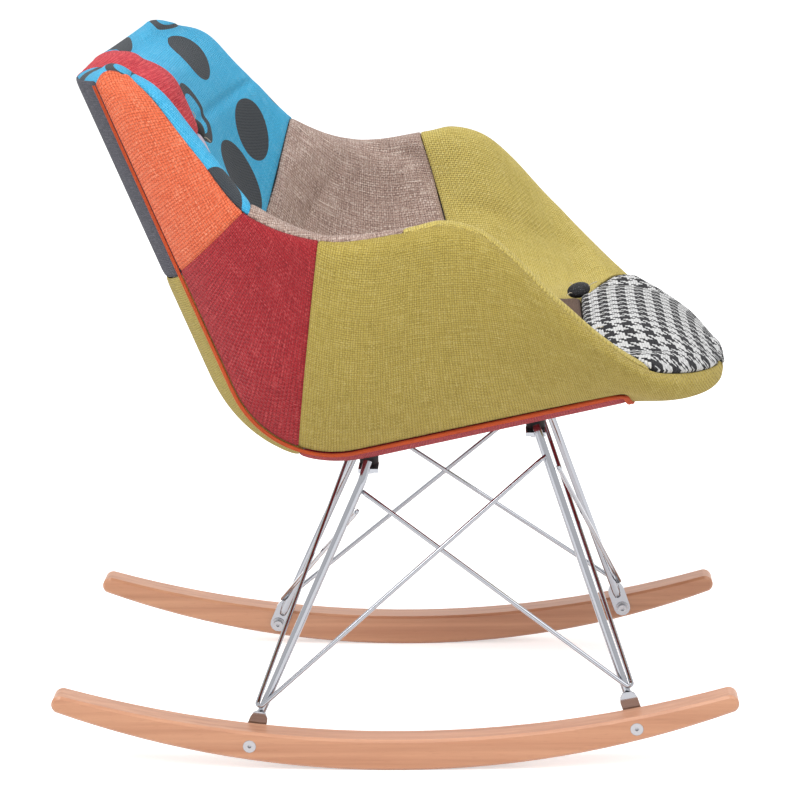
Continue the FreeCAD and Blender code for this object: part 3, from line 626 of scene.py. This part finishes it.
class Graph:
    """Short words for adding and joining nodes."""

    def __init__(self, tree):
        self.tree = tree

    def link(self, a, b):
        self.tree.links.new(a, b)

    def put(self, socket, value):
        if hasattr(value, "is_output"):
            self.link(value, socket)
        else:
            socket.default_value = value

    def add(self, kind, sockets=None, **values):
        node = self.tree.nodes.new(kind)
        for key, value in values.items():
            setattr(node, key, value)
        for key, value in (sockets or {}).items():
            self.put(node.inputs[key], value)
        return node

    def math(self, kind, a, b=None):
        sockets = {0: a} if b is None else {0: a, 1: b}
        return self.add("ShaderNodeMath", sockets, operation=kind).outputs[0]

    def ridge(self, value):
        """Round threads side by side, one to each whole number."""
        return self.math("ABSOLUTE", self.math("SINE", self.math("MULTIPLY", value, math.pi)))

    def either(self, pick, a, b):
        """The first value where the pick is 1, the second where it is 0."""
        rest = self.math("MULTIPLY", self.math("SUBTRACT", 1.0, pick), b)
        return self.math("ADD", self.math("MULTIPLY", pick, a), rest)

    def colour_mix(self, share, a, b):
        a, b = [srgb(c) if isinstance(c, tuple) else c for c in (a, b)]
        return self.add("ShaderNodeMix", {0: share, 6: a, 7: b}, data_type="RGBA").outputs[2]

    def noise(self, vector, scale, detail=3.0, roughness=0.55):
        """Noise of one scale, or with a scale for each axis."""
        if isinstance(scale, tuple):
            vector, scale = self.stretch(vector, *scale), 1.0
        sockets = {"Vector": vector, "Scale": scale, "Detail": detail, "Roughness": roughness}
        return self.add("ShaderNodeTexNoise", sockets).outputs["Fac"]

    def steps(self, value, low, high):
        sockets = {"Value": value, "From Min": low, "From Max": high}
        return self.add("ShaderNodeMapRange", sockets).outputs["Result"]

    def stretch(self, vector, x, y, z=1.0):
        return self.add("ShaderNodeMapping", {"Vector": vector, "Scale": (x, y, z)}).outputs["Vector"]

    def split(self, vector):
        return self.add("ShaderNodeSeparateXYZ", {0: vector}).outputs

    def cloth_place(self):
        return self.add("ShaderNodeUVMap", uv_map="UVMap").outputs["UV"]

    def solid_place(self):
        return self.add("ShaderNodeTexCoord").outputs["Object"]

    def seen_by(self, first, *rays):
        """1 for rays of these kinds, else 0."""
        path = self.add("ShaderNodeLightPath")
        seen = path.outputs[first]
        for kind in rays:
            seen = self.math("MAXIMUM", seen, path.outputs[kind])
        return seen


def plain_weave_group():
    """Threads crossing over and under: their height and the fluff along them."""
    tree = bpy.data.node_groups.new("plain_weave", "ShaderNodeTree")
    for label, way, kind in (
        ("Cloth", "INPUT", "NodeSocketVector"), ("Thread", "INPUT", "NodeSocketFloat"),
        ("Height", "OUTPUT", "NodeSocketFloat"), ("Slub", "OUTPUT", "NodeSocketFloat"),
    ):
        tree.interface.new_socket(name=label, in_out=way, socket_type=kind)
    g = Graph(tree)
    entry = g.add("NodeGroupInput").outputs
    cloth, width = entry["Cloth"], entry["Thread"]
    where = g.split(cloth)
    shift = g.math("MULTIPLY", g.math("SUBTRACT", g.noise(cloth, 90.0, 2.0), 0.5), 0.8)
    across, along = [g.math("ADD", g.math("DIVIDE", where[axis], width), shift) for axis in "XY"]
    square = g.math("ADD", g.math("FLOOR", across), g.math("FLOOR", along))
    over = g.math("FLOORED_MODULO", square, 2.0)
    height = g.either(over, g.ridge(across), g.ridge(along))
    slub = g.either(over, g.noise(cloth, (700.0, 40.0)), g.noise(cloth, (40.0, 700.0)))
    g.add("NodeGroupOutput", {"Height": height, "Slub": slub})
    return tree


weave_group = plain_weave_group()


def start_material(name, roughness, sheen=0.0):
    material = bpy.data.materials.new(name)
    material.use_nodes = True
    shader = material.node_tree.nodes["Principled BSDF"]
    shader.inputs["Roughness"].default_value = roughness
    shader.inputs["Sheen Weight"].default_value = sheen
    return material, Graph(material.node_tree), shader


def bump(g, shader, height, strength, distance):
    node = g.add("ShaderNodeBump", {"Strength": strength, "Distance": distance, "Height": height})
    g.link(node.outputs["Normal"], shader.inputs["Normal"])


def finish_material(g, shader, colour, *relief):
    g.link(colour, shader.inputs["Base Color"])
    bump(g, shader, *relief)


def lay_over(g, shader, share, colour):
    """Lay a colour over the one that the material has so far."""
    base = shader.inputs["Base Color"]
    g.link(g.colour_mix(share, base.links[0].from_socket, colour), base)


def woven(name, dark, plain, light, thread, fleck, relief=True):
    """Woven cloth of one yarn, with lighter slubs; its dark colour is the painted shade between the threads
    and also its dark slubs and patches.
    """
    material, g, shader = start_material(name, 0.95, 0.04)
    cloth = g.cloth_place()
    weave = g.add("ShaderNodeGroup", node_tree=weave_group)
    g.link(cloth, weave.inputs["Cloth"])
    weave.inputs["Thread"].default_value = thread
    height, slub = weave.outputs["Height"], weave.outputs["Slub"]
    # Painted shade: the yarn is darker where the weave is low, between the threads
    body = g.colour_mix(g.steps(height, 0.0, 0.75), dark, plain)
    body = g.colour_mix(g.math("MULTIPLY", g.steps(slub, 0.5, 0.72), fleck), body, light)
    body = g.colour_mix(g.math("MULTIPLY", g.steps(slub, 0.47, 0.30), fleck), body, dark)
    shade = g.steps(g.noise(cloth, 9.0, 2.0), 0.3, 0.7)
    body = g.colour_mix(g.math("MULTIPLY", shade, 0.14), body, dark)
    g.link(body, shader.inputs["Base Color"])
    if relief:
        bump(g, shader, height, 0.8, 0.0008)
    return material, g, shader, cloth, height


# Each cloth's first colour is its dark slubs and also the painted shade between its threads
orange_cloth = woven("orange_weave", (170, 60, 32), (236, 112, 70), (255, 176, 140), 0.0032, 0.6)[0]
red_cloth = woven("red_twill", (104, 10, 20), (172, 30, 40), (220, 96, 96), 0.0028, 0.65)[0]
olive_cloth = woven("olive_linen", (122, 104, 38), (190, 168, 80), (220, 203, 132), 0.0024, 0.5)[0]
# The arms' inner side is the olive linen again, made lighter: painted light, for the brighter light that falls
# there
olive_lining_painted_light = woven("olive_lining_painted_light", (140, 120, 54), (212, 192, 104), (234, 222, 156), 0.0024, 0.5)[0]
denim_cloth = woven("grey_denim", (34, 34, 42), (70, 70, 82), (128, 128, 140), 0.0020, 0.7)[0]
piping_cloth = woven("orange_piping", (222, 76, 24), (252, 104, 44), (255, 146, 90), 0.0012, 0.3)[0]
lilac_cloth = woven("lilac_weave", (176, 156, 180), (214, 200, 216), (240, 232, 240), 0.0024, 0.5)[0]
brown_cloth = woven("brown_weave", (60, 40, 30), (96, 70, 55), (132, 104, 84), 0.0020, 0.4)[0]


def rib_material():
    """Red cloth with fine short ribs that run across the column, with painted highlights on their crests."""
    rib_width = 0.0048
    material, g, shader, cloth, height = woven(
        "red_rib", (150, 16, 34), (212, 40, 58), (244, 108, 112), 0.0022, 0.3, relief=False
    )
    angle = g.math("MULTIPLY", g.split(cloth)["Y"], math.pi / rib_width)
    wave = g.math("ABSOLUTE", g.math("SINE", angle))
    breaks = g.steps(g.noise(cloth, (60.0, 420.0), 2.0), 0.42, 0.58)
    rib = g.math("MULTIPLY", wave, breaks)
    # Painted highlight: the ribs' crests are a lighter red
    lay_over(g, shader, g.math("MULTIPLY", rib, 0.55), (246, 96, 100))
    bump(g, shader, g.math("ADD", height, rib), 0.8, 0.001)
    return material


def tweed_material():
    """Taupe tweed: two tones of yarn with long pale slubs along one way and specks across."""
    material, g, shader, cloth, _height = woven(
        "taupe_tweed", (92, 71, 65), (184, 156, 143), (244, 228, 216), 0.0028, 0.7
    )
    line = g.steps(g.noise(cloth, (420.0, 18.0), 2.0), 0.62, 0.70)
    speck = g.steps(g.noise(cloth, (170.0, 420.0), 2.0), 0.60, 0.70)
    both = g.math("MAXIMUM", g.math("MULTIPLY", line, 0.75), g.math("MULTIPLY", speck, 0.6))
    lay_over(g, shader, both, (222, 204, 192))
    return material


def dot_print_material():
    """Blue canvas printed with dark dots and rings, a few to a pad."""
    least_size, more_size, hole_share, ring_from = 0.27, 0.12, 0.66, 0.62
    material, g, shader, cloth, height = woven(
        "blue_print", (34, 134, 182), (70, 188, 234), (146, 218, 244), 0.0022, 0.45
    )
    cell = g.add(
        "ShaderNodeTexVoronoi", {"Vector": g.stretch(cloth, 1.0, 0.8), "Scale": 11.5, "Randomness": 0.55},
        voronoi_dimensions="2D", feature="F1",
    )
    distance = cell.outputs["Distance"]
    pick = g.add("ShaderNodeSeparateColor", {0: cell.outputs["Color"]}).outputs
    size = g.math("ADD", g.math("MULTIPLY", pick[0], more_size), least_size)
    disc = g.math("LESS_THAN", distance, size)
    hole = g.math("LESS_THAN", distance, g.math("MULTIPLY", size, hole_share))
    is_ring = g.math("GREATER_THAN", pick[1], ring_from)
    ink = g.math("SUBTRACT", disc, g.math("MULTIPLY", hole, is_ring))
    # The ink is darker where the weave is low: painted shade between the threads
    lay_over(g, shader, ink, g.colour_mix(g.steps(height, 0.0, 0.8), (38, 42, 46), (66, 72, 78)))
    return material


def houndstooth_material():
    """Four dark and four pale yarns each way, woven as a twill, which makes the toothed check."""
    yarn, repeat, dark_yarns, twill, twill_over = 0.0024, 8.0, 3.5, 4.0, 1.5
    material, g, shader = start_material("houndstooth", 0.95, 0.02)
    cloth = g.cloth_place()
    where = g.split(cloth)
    u, v = [g.math("DIVIDE", where[axis], yarn) for axis in "XY"]
    i, j = g.math("FLOOR", u), g.math("FLOOR", v)
    warp_dark, weft_dark = [
        g.math("LESS_THAN", g.math("FLOORED_MODULO", number, repeat), dark_yarns) for number in (i, j)
    ]
    on_top = g.math("LESS_THAN", g.math("FLOORED_MODULO", g.math("ADD", i, j), twill), twill_over)
    dark = g.either(on_top, warp_dark, weft_dark)
    height = g.either(on_top, g.ridge(u), g.ridge(v))
    fluff = g.noise(cloth, 900.0)
    pale = g.colour_mix(fluff, (196, 196, 196), (240, 240, 240))
    black = g.colour_mix(fluff, (12, 12, 15), (36, 36, 42))
    body = g.colour_mix(dark, pale, black)
    # Painted shade: the check is darker where the weave is low, between the yarns
    body = g.colour_mix(g.steps(height, 0.0, 0.5), g.colour_mix(0.4, body, (40, 40, 44)), body)
    finish_material(g, shader, body, height, 0.9, 0.001)
    return material


def beech_material():
    """Steamed beech with a fine grain along the rocker, short flecks and a satin lacquer."""
    material, g, shader = start_material("beech", 0.42)
    shader.inputs["Coat Weight"].default_value = 0.25
    shader.inputs["Coat Roughness"].default_value = 0.25
    where = g.solid_place()
    grain = g.noise(where, (3.0, 150.0, 110.0), 5.0, 0.6)
    broad = g.steps(g.noise(where, (1.5, 30.0, 26.0)), 0.35, 0.65)
    fleck = g.steps(g.noise(where, (70.0, 900.0, 900.0), 2.0), 0.60, 0.72)
    body = g.colour_mix(g.steps(grain, 0.3, 0.7), (176, 120, 88), (206, 152, 118))
    body = g.colour_mix(g.math("MULTIPLY", broad, 0.35), body, (210, 149, 113))
    body = g.colour_mix(g.math("MULTIPLY", fleck, 0.25), body, (160, 104, 72))
    finish_material(g, shader, body, grain, 0.15, 0.0004)
    return material


def metal_material(name, colour, roughness, scratch):
    material, g, shader = start_material(name, roughness)
    shader.inputs["Metallic"].default_value = 1.0
    where = g.solid_place()
    cloud = g.math("MULTIPLY", g.noise(where, 60.0), 0.2)
    worn = {"Value": g.noise(where, 300.0, 2.0), "To Min": roughness * 0.7, "To Max": roughness * 1.4}
    g.link(g.add("ShaderNodeMapRange", worn).outputs["Result"], shader.inputs["Roughness"])
    body = g.colour_mix(cloud, colour, darker(colour, 0.8))
    finish_material(g, shader, body, g.noise(where, 420.0, 2.0), scratch, 0.0002)
    return material


def moulded_material(name, colour, roughness):
    material, g, shader = start_material(name, roughness)
    grainy = g.noise(g.solid_place(), 700.0, 2.0)
    body = g.colour_mix(g.math("MULTIPLY", grainy, 0.3), colour, darker(colour, 0.75))
    finish_material(g, shader, body, grainy, 0.2, 0.0003)
    return material


def button_material():
    """Black knotted cloth, with painted shade between the knots and a few painted glints."""
    material, g, shader = start_material("button_cloth", 0.8)
    where = g.solid_place()
    cell = g.add("ShaderNodeTexVoronoi", {"Vector": where, "Scale": 420.0}, feature="F1").outputs["Distance"]
    # Painted glints: a few specks of light grey
    painted_glint = g.steps(g.noise(where, 900.0, 2.0), 0.62, 0.72)
    # Painted shade: each knot is darker towards its low edges
    body = g.colour_mix(g.steps(cell, 0.1, 0.7), (40, 40, 44), (10, 10, 11))
    finish_material(g, shader, g.colour_mix(painted_glint, body, (110, 110, 116)), cell, -0.7, 0.001)
    return material


rib_cloth, tweed_cloth = rib_material(), tweed_material()
print_cloth, check_cloth = dot_print_material(), houndstooth_material()
beech, button_cloth = beech_material(), button_material()
chrome = metal_material("chromed_rod", (170, 172, 178), 0.07, 0.02)
steel = metal_material("steel_hardware", (178, 178, 182), 0.32, 0.08)
brass = metal_material("brass_insert", (200, 160, 84), 0.3, 0.05)
rubber = moulded_material("black_rubber", (58, 58, 60), 0.8)
plastic = moulded_material("shell_plastic", (206, 202, 196), 0.6)
thread = moulded_material("thread_ends", (206, 196, 176), 0.9)


# Padded lining
def half_turn(inside, outside, ahead, bend):
    """A point on the way round an edge, from the padding's face to the outer side."""
    outside.y = math.copysign(outside.y, inside.y)
    middle, half = 0.5 * (inside + outside), 0.5 * (inside - outside)
    return middle + half * math.cos(bend) + ahead * (roll_round * half.length * math.sin(bend))


def roll_over(rows, angles, count, skin_shares):
    """Carry the padding over the top edge of the back and down to the outer side."""
    extra = []
    for k in range(count, 0, -1):
        bend = math.pi * roll_end * k / count
        row = []
        for inside, angle, share in zip(rows[0], angles, skin_shares):
            turn = math.radians(angle)
            up = Vector((-math.sin(turn), 0.0, math.cos(turn)))
            row.append(half_turn(inside, skin(angle, share), up, bend))
        extra.append(row)
    return extra + rows


def column_rows(first, last, count, columns, roll=0):
    """The lining of the middle column between two fan angles."""
    places = spread(columns)
    shares = [column_share * abs(t) for t in places]
    starts = [first + top_line(share) if roll else first - seam_lap for share in shares]
    rows = []
    for j in range(count + 1):
        angles = [mix(start, last + seam_lap, j / count) for start in starts]
        rows.append([face_point(angle, t) for angle, t in zip(angles, places)])
    return roll_over(rows, starts, roll, shares) if roll else rows


def side_rows(first, last, side, count, columns, roll=0):
    """The lining on one side between two seams; each is an angle or a line of the side view."""
    ends = seam_ends(first, last, side_face, columns, column_share)
    rows = lay_rows(ends[0], ends[1], side_face, count, columns)
    if roll:
        shares = [mix(column_share, 1.0, i / columns) for i in range(columns + 1)]
        rows = roll_over(rows, ends[0], roll, shares)
    return mirrored(rows, side)


def front_rows(columns, count, roll):
    """The front patch, which widens from the column to the rim and turns over the lip."""
    angles = front_angles(brown_check_angle, count)
    places = spread(columns)
    rows = [[face_point(angle, t) for t in places] for angle in angles]
    for j, row in enumerate(rows):
        for p, t in zip(row, places):
            full = (1.0 - t ** 12) * mix(0.35, 1.0, t * t)
            p.z += front_fullness * full * math.sin(math.pi * j / count)
    rows = sink_edges(rows, 2.2, 10.0, ("end",))
    turn = math.radians(angles[-1])
    ahead = Vector((math.sin(turn), 0.0, -math.cos(turn)))
    face = rows[-1]
    for k in range(1, roll + 1):
        bend = math.pi * k / roll
        rows.append([half_turn(p, skin(angles[-1], abs(t)), ahead, bend) for p, t in zip(face, places)])
    return rows


def crease(rows, angle):
    """A sewn line across the pad at one fan angle, which fades out at the rim."""
    for row in rows:
        for i, p in enumerate(row):
            fade = 1.0 - (i / (len(row) - 1)) ** fold_fade
            near = bell(angle_of(1000.0 * p.x, 1000.0 * p.z), angle, fold_width)
            p += (p - fold_heart).normalized() * fold_depth * fade * near
    return rows


def pad(name, rows, material, nodes, dip=2.4, cap=0.005, open_sides=(), fold=None):
    """A padded patch, drawn in along its seams, under the buttons and along a fold."""
    rows = tuft(sink_edges(rows, dip, pad_seam_width, open_sides) if dip else rows)
    if fold:
        rows = crease(rows, fold)
    piece = grid_piece(name, rows)
    turn_faces(piece, True)
    puff(piece, cap)
    thicken(piece, pad_wall)
    dress(piece, material, nodes)


pad("red_column_pad", column_rows(roll_angle, red_lilac_angle, 16, 22, 8), rib_cloth,
    ["back_pad_red"], open_sides=("start",))
pad("lilac_column_pad", column_rows(red_lilac_angle, lilac_brown_angle, 20, 24), lilac_cloth,
    ["back_pad_lilac"])
pad("brown_seat_pad", column_rows(lilac_brown_angle, brown_check_angle, 40, 28), brown_cloth,
    ["seat_pad_brown"])
pad("check_front_pad", front_rows(48, 44, 8), check_cloth, ["seat_pad_houndstooth"], dip=0.0)
for side, word in both_sides:
    pad("blue_wing_pad_" + word, side_rows(roll_angle, blue_taupe_seam, side, 44, 26, 8), print_cloth,
        ["wing_pad_blue_" + word], cap=0.003, open_sides=("start", "last"), fold=blue_fold_angle)
    pad("taupe_arm_pad_" + word, side_rows(blue_taupe_seam, taupe_olive_seam, side, 30, 34), tweed_cloth,
        ["arm_pad_taupe_" + word], dip=2.0, open_sides=("last",), fold=taupe_fold_angle)
    pad("olive_arm_pad_" + word, side_rows(taupe_olive_seam, flare_end_angle - 0.25, side, 48, 30),
        olive_lining_painted_light, ["arm_pad_olive_" + word], dip=1.8, open_sides=("last", "end"))


# Outer cover and the panel inside the piping
def wall_rows(first, last, side, count, columns):
    """The outer cover on one side between two seams."""
    ends = seam_ends(first, last, wall, columns)
    if first == top_angle:
        ends[0] = [angle - top_lap * math.sin(math.pi * i / columns) for i, angle in enumerate(ends[0])]
    return mirrored(lay_rows(ends[0], ends[1], wall, count, columns), side)


def panel_rows(first, last, count, columns):
    """The panel between two fan angles."""
    rows = []
    for j in range(count + 1):
        row = []
        for t in spread(columns):
            drop = top_line(panel_share * abs(t)) - 0.5 * top_lap if first == top_angle else 0.0
            angle = mix(first + drop, last, j / count)
            row.append(place(angle, section(angle).panel_point(t * panel_half_width, 0.0)))
        rows.append(row)
    return rows


def cover(name, rows, material, nodes):
    """A sheet of cloth over the shell, drawn in along its seams."""
    piece = grid_piece(name, sink_edges(rows, -1.0, cloth_seam_width))
    turn_faces(piece, False)
    thicken(piece, cloth_wall)
    dress(piece, material, nodes)


for side, word in both_sides:
    cover("orange_cover_" + word, wall_rows(top_angle, orange_red_seam, side, 30, 24), orange_cloth,
          ["outer_cover_orange_" + word])
    cover("red_cover_" + word, wall_rows(orange_red_seam, red_olive_seam, side, 34, 24), red_cloth,
          ["outer_cover_red_" + word])
cover("grey_back_panel", panel_rows(top_angle, grey_olive_angle, 40, 44), denim_cloth,
      ["back_panel_grey"])
cover("olive_back_panel", panel_rows(grey_olive_angle, olive_red_angle, 30, 44), olive_cloth,
      ["back_panel_olive"])
cover("red_bottom_panel", panel_rows(olive_red_angle, panel_front_angle, 44, 44), red_cloth,
      ["bottom_panel_red"])


def lip_rows(count, columns):
    """The front of the olive cover, from rim to rim under the lip; its last row is tucked in."""
    tuck_depth, tuck_angle = 0.002, 0.2
    rows = []
    angles = front_angles(panel_front_angle, count)
    angles[-1] -= tuck_angle
    for j, angle in enumerate(angles):
        row = [skin(angle, abs(i) / columns) for i in range(-columns, columns + 1)]
        for p in row[:columns]:
            p.y = -p.y
        for i, p in enumerate(row):
            low = 1.0 - abs(i / columns - 1.0) ** 6
            tuck = tuck_depth if j == count else 0.0
            p += (p - lip_heart).normalized() * (lip_fullness * low * math.sin(math.pi * j / count) - tuck)
        rows.append(row)
    return rows


def olive_outer_cover():
    """Both arms and the front lip are one piece of cloth."""
    lip = sink_edges(lip_rows(26, 50), -0.8, cloth_seam_width, ("start", "end"))
    parts = [grid_piece("olive_cover", lip)]
    for side, _word in both_sides:
        rows = wall_rows(red_olive_seam, panel_front_angle, side, 60, 20)
        parts.append(grid_piece("olive_arm", sink_edges(rows, -1.2, cloth_seam_width, ("end",))))
    bm = bmesh.new()
    for part in parts:
        turn_faces(part, False)
        bm.from_mesh(part.data)
    bmesh.ops.remove_doubles(bm, verts=bm.verts, dist=0.002)
    bmesh.ops.recalc_face_normals(bm, faces=bm.faces)
    piece = parts[0]
    bm.to_mesh(piece.data)
    bm.free()
    for part in parts[1:]:
        bpy.data.objects.remove(part)
    turn_faces(piece, False)
    thicken(piece, cloth_wall)
    dress(piece, olive_cloth, ["outer_cover_olive"])


def moulded_shell():
    """The plastic shell between the cloth and the padding, a little short of the edges that hide it."""
    top_gap, depth, columns, full_columns = 4.2, 5.4, 40, 41.5
    angles = [mix(top_angle + top_gap, panel_front_angle, j / 40) for j in range(40)]
    angles += front_angles(panel_front_angle, 14)[:-2]
    rows = []
    for angle in angles:
        row = []
        for i in range(-columns, columns + 1):
            y, reach = section(angle).skin_point(abs(i) / full_columns, depth)
            row.append(place(angle, (math.copysign(y, i), reach)))
        rows.append(row)
    piece = grid_piece("moulded_shell", rows)
    turn_faces(piece, False)
    thicken(piece, shell_wall, 0)
    dress(piece, plastic, ["seat_shell"])


olive_outer_cover()
moulded_shell()

# Piping: two cords side by side along the edge of the panel, in millimetres and degrees, radii in metres
cord_gaps, cord_out, gap_per_degree = (1.4, -1.4), 1.2, 7.0
corner_turn, corner_width, corner_drop = 1.9, 12.0, 0.9
piping_start, run_steps, turn_steps, front_steps = 1.8, 110, 20, 60
cord_radius, thread_radius = 0.0017, 0.0004


def cord_curve(name, lines, radius, first_width=1.0):
    """Round cords along lines of points; a first width below 1 lets them start thin."""
    curve = bpy.data.curves.new(name, "CURVE")
    curve.dimensions = "3D"
    curve.bevel_depth = radius
    curve.bevel_resolution = 2
    curve.use_fill_caps = True
    for points in lines:
        spline = curve.splines.new("POLY")
        spline.points.add(len(points) - 1)
        for k, (knot, p) in enumerate(zip(spline.points, points)):
            knot.co = (p.x, p.y, p.z, 1.0)
            knot.radius = mix(first_width, 1.0, min(1.5 * k / len(points), 1.0))
    holder = add_object(name + "_route", curve)
    bpy.context.view_layer.update()
    mesh = bpy.data.meshes.new_from_object(holder.evaluated_get(bpy.context.evaluated_depsgraph_get()))
    bpy.data.objects.remove(holder)
    mesh.name = name
    for polygon in mesh.polygons:
        polygon.use_smooth = True
    return add_object(name, mesh)


def piping(name, node, lines, first_width):
    piece = cord_curve(name, lines, cord_radius, first_width)
    if not piece.data.uv_layers:
        layer = piece.data.uv_layers.new(name="UVMap")
        for loop in piece.data.loops:
            p = piece.data.vertices[loop.vertex_index].co
            layer.data[loop.index].uv = (p.x + p.y, p.z)
    dress(piece, piping_cloth, [node])


def side_piping(side):
    """Two cords along one edge of the panel, which turn into the front run."""
    lines = [[], []]
    for k in range(run_steps + turn_steps + 1):
        angle = mix(top_angle + piping_start, panel_front_angle - corner_turn, min(k / run_steps, 1.0))
        bend = 0.5 * math.pi * max(k - run_steps, 0) / turn_steps
        for line, gap in zip(lines, cord_gaps):
            turned = angle + (corner_turn + gap / gap_per_degree) * math.sin(bend)
            y = panel_half_width + gap - (corner_width + gap) * (1.0 - math.cos(bend))
            edge = min(y, panel_half_width)
            reach = section(turned).panel_point(edge, -cord_out)[1] - corner_drop * (y - edge)
            line.append(place(turned, (side * y, reach)))
    return lines


def front_piping():
    lines = []
    for gap in cord_gaps:
        turned = panel_front_angle + gap / gap_per_degree
        places = [t * (panel_half_width - corner_width) for t in spread(front_steps)]
        lines.append([place(turned, section(turned).panel_point(y, -cord_out)) for y in places])
    return lines


for side, word in both_sides:
    piping("piping_cords_" + word, "piping_" + word, side_piping(side), 0.4)
piping("piping_cords_front", "piping_front", front_piping(), 1.0)


# Rods: the solids with their facets rounded off. Plates, fasteners and rockers are the solids themselves
def rounded(node, material):
    bm = bmesh.new()
    bm.from_mesh(cad[node].data)
    bmesh.ops.remove_doubles(bm, verts=bm.verts, dist=0.00002)
    bmesh.ops.dissolve_limit(bm, angle_limit=math.radians(1.0), verts=bm.verts, edges=bm.edges)
    hardness = bm.edges.layers.float.new("crease_edge")
    for edge in bm.edges:
        sharp = len(edge.link_faces) != 2 or edge.calc_face_angle(0.0) > math.radians(42.0)
        edge.smooth = not sharp
        edge[hardness] = 0.92 if sharp else 0.0
    smooth_faces(bm.faces)
    piece = mesh_object(node + "_round", bm)
    refine(piece, 2)
    dress(piece, material, [node])


for end in ("front_left", "front_right", "rear_left", "rear_right"):
    rounded("leg_" + end, chrome)
    rounded("brace_" + end, chrome)
    paint(cad["foot_tab_" + end], chrome)
    paint(cad["mount_plate_" + end], chrome)
for node, material in (
    ("rocker_bolts", steel), ("rocker_washers", steel), ("sleeve_nuts", steel), ("seat_bolts", steel),
    ("seat_washers", steel), ("threaded_inserts", brass), ("rubber_spacers", rubber),
    ("rocker_left", beech), ("rocker_right", beech),
):
    paint(cad[node], material)


# Covered buttons, each with a few loose thread ends
def covered_buttons():
    radius, flatness, lift, threads, thread_turn = 0.0125, 0.6, 0.002, 3, 2.1
    bm = bmesh.new()
    lines = []
    for number, spot in enumerate(buttons):
        up = fan_heart - spot
        up.y *= 0.5
        up.normalize()
        turn = up.to_track_quat("Z", "Y").to_matrix().to_4x4()
        made = bmesh.ops.create_uvsphere(bm, u_segments=32, v_segments=16, radius=radius)["verts"]
        bmesh.ops.scale(bm, vec=(1.0, 1.0, flatness), verts=made)
        bmesh.ops.transform(bm, matrix=Matrix.Translation(spot + up * lift) @ turn, verts=made)
        for k in range(threads):
            tilt = thread_turn * k + number
            out = turn @ Vector((math.cos(tilt), math.sin(tilt), 0.0))
            route = ((0.010, 0.003), (0.015, 0.006), (0.021, 0.005 + 0.001 * k))
            lines.append([spot + out * away + up * high for away, high in route])
    smooth_faces(bm.faces)
    dress(mesh_object("covered_buttons", bm), button_cloth, ["tuft_buttons"])
    loose = cord_curve("button_thread_ends", lines, thread_radius)
    loose.data.materials.append(thread)
    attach(loose, "root")


covered_buttons()

# Floor, light and camera
white = (1.0, 1.0, 1.0, 1.0)
floor_grey, floor_glow = (0.86, 0.86, 0.86, 1.0), 0.55
sky_light, sky_seen = 0.58, 0.42
lamp_aim = Vector((0.0, 0.0, 0.4))
lamps = (
    ("key", (-1.4, -1.8, 3.0), 2.0, 84.0),
    ("fill", (2.2, -1.4, 2.3), 2.2, 30.0),
    ("rim", (0.6, 2.4, 2.6), 2.0, 26.0),
)
focal_pixels, image_pixels, sensor_width = 2982.4, 800.0, 36.0


def studio():
    """A white floor and sky, which look brighter than the light they give, and three soft lamps."""
    bm = bmesh.new()
    bmesh.ops.create_grid(bm, x_segments=1, y_segments=1, size=30.0)
    floor = mesh_object("floor", bm)
    material, g, shader = start_material("floor_white", 0.9)
    shader.inputs["Base Color"].default_value = floor_grey
    shader.inputs["Emission Color"].default_value = white
    seen = g.seen_by("Is Camera Ray", "Is Glossy Ray")
    g.link(g.math("MULTIPLY", seen, floor_glow), shader.inputs["Emission Strength"])
    floor.data.materials.append(material)
    world = bpy.data.worlds.new("studio")
    scene.world = world
    world.use_nodes = True
    g = Graph(world.node_tree)
    sky = world.node_tree.nodes["Background"]
    sky.inputs["Color"].default_value = white
    seen = g.seen_by("Is Camera Ray", "Is Glossy Ray", "Is Transmission Ray")
    g.link(g.math("ADD", g.math("MULTIPLY", seen, sky_seen), sky_light), sky.inputs["Strength"])
    for name, spot, size, power in lamps:
        lamp = bpy.data.lights.new(name, "AREA")
        lamp.shape = "SQUARE"
        lamp.size = size
        lamp.energy = power
        holder = add_object(name, lamp)
        holder.location = spot
        holder.rotation_euler = (lamp_aim - Vector(spot)).to_track_quat("-Z", "Y").to_euler()


def camera():
    """The camera that was fitted to the photo."""
    lens = bpy.data.cameras.new("camera")
    lens.sensor_fit = "HORIZONTAL"
    lens.sensor_width = sensor_width
    lens.lens = focal_pixels * sensor_width / image_pixels
    right = Vector((0.99928933, 0.03491366, -0.01420784))
    up = Vector((0.00532923, 0.24228014, 0.9701917))
    look = Vector((-0.03731522, 0.96957793, -0.2419219))
    pose = Matrix((right, up, -look)).transposed().to_4x4()
    pose.translation = (0.1179, -2.9948, 1.0745)
    holder = add_object("camera", lens)
    holder.matrix_world = pose
    scene.camera = holder


studio()
camera()
bpy.context.view_layer.update()
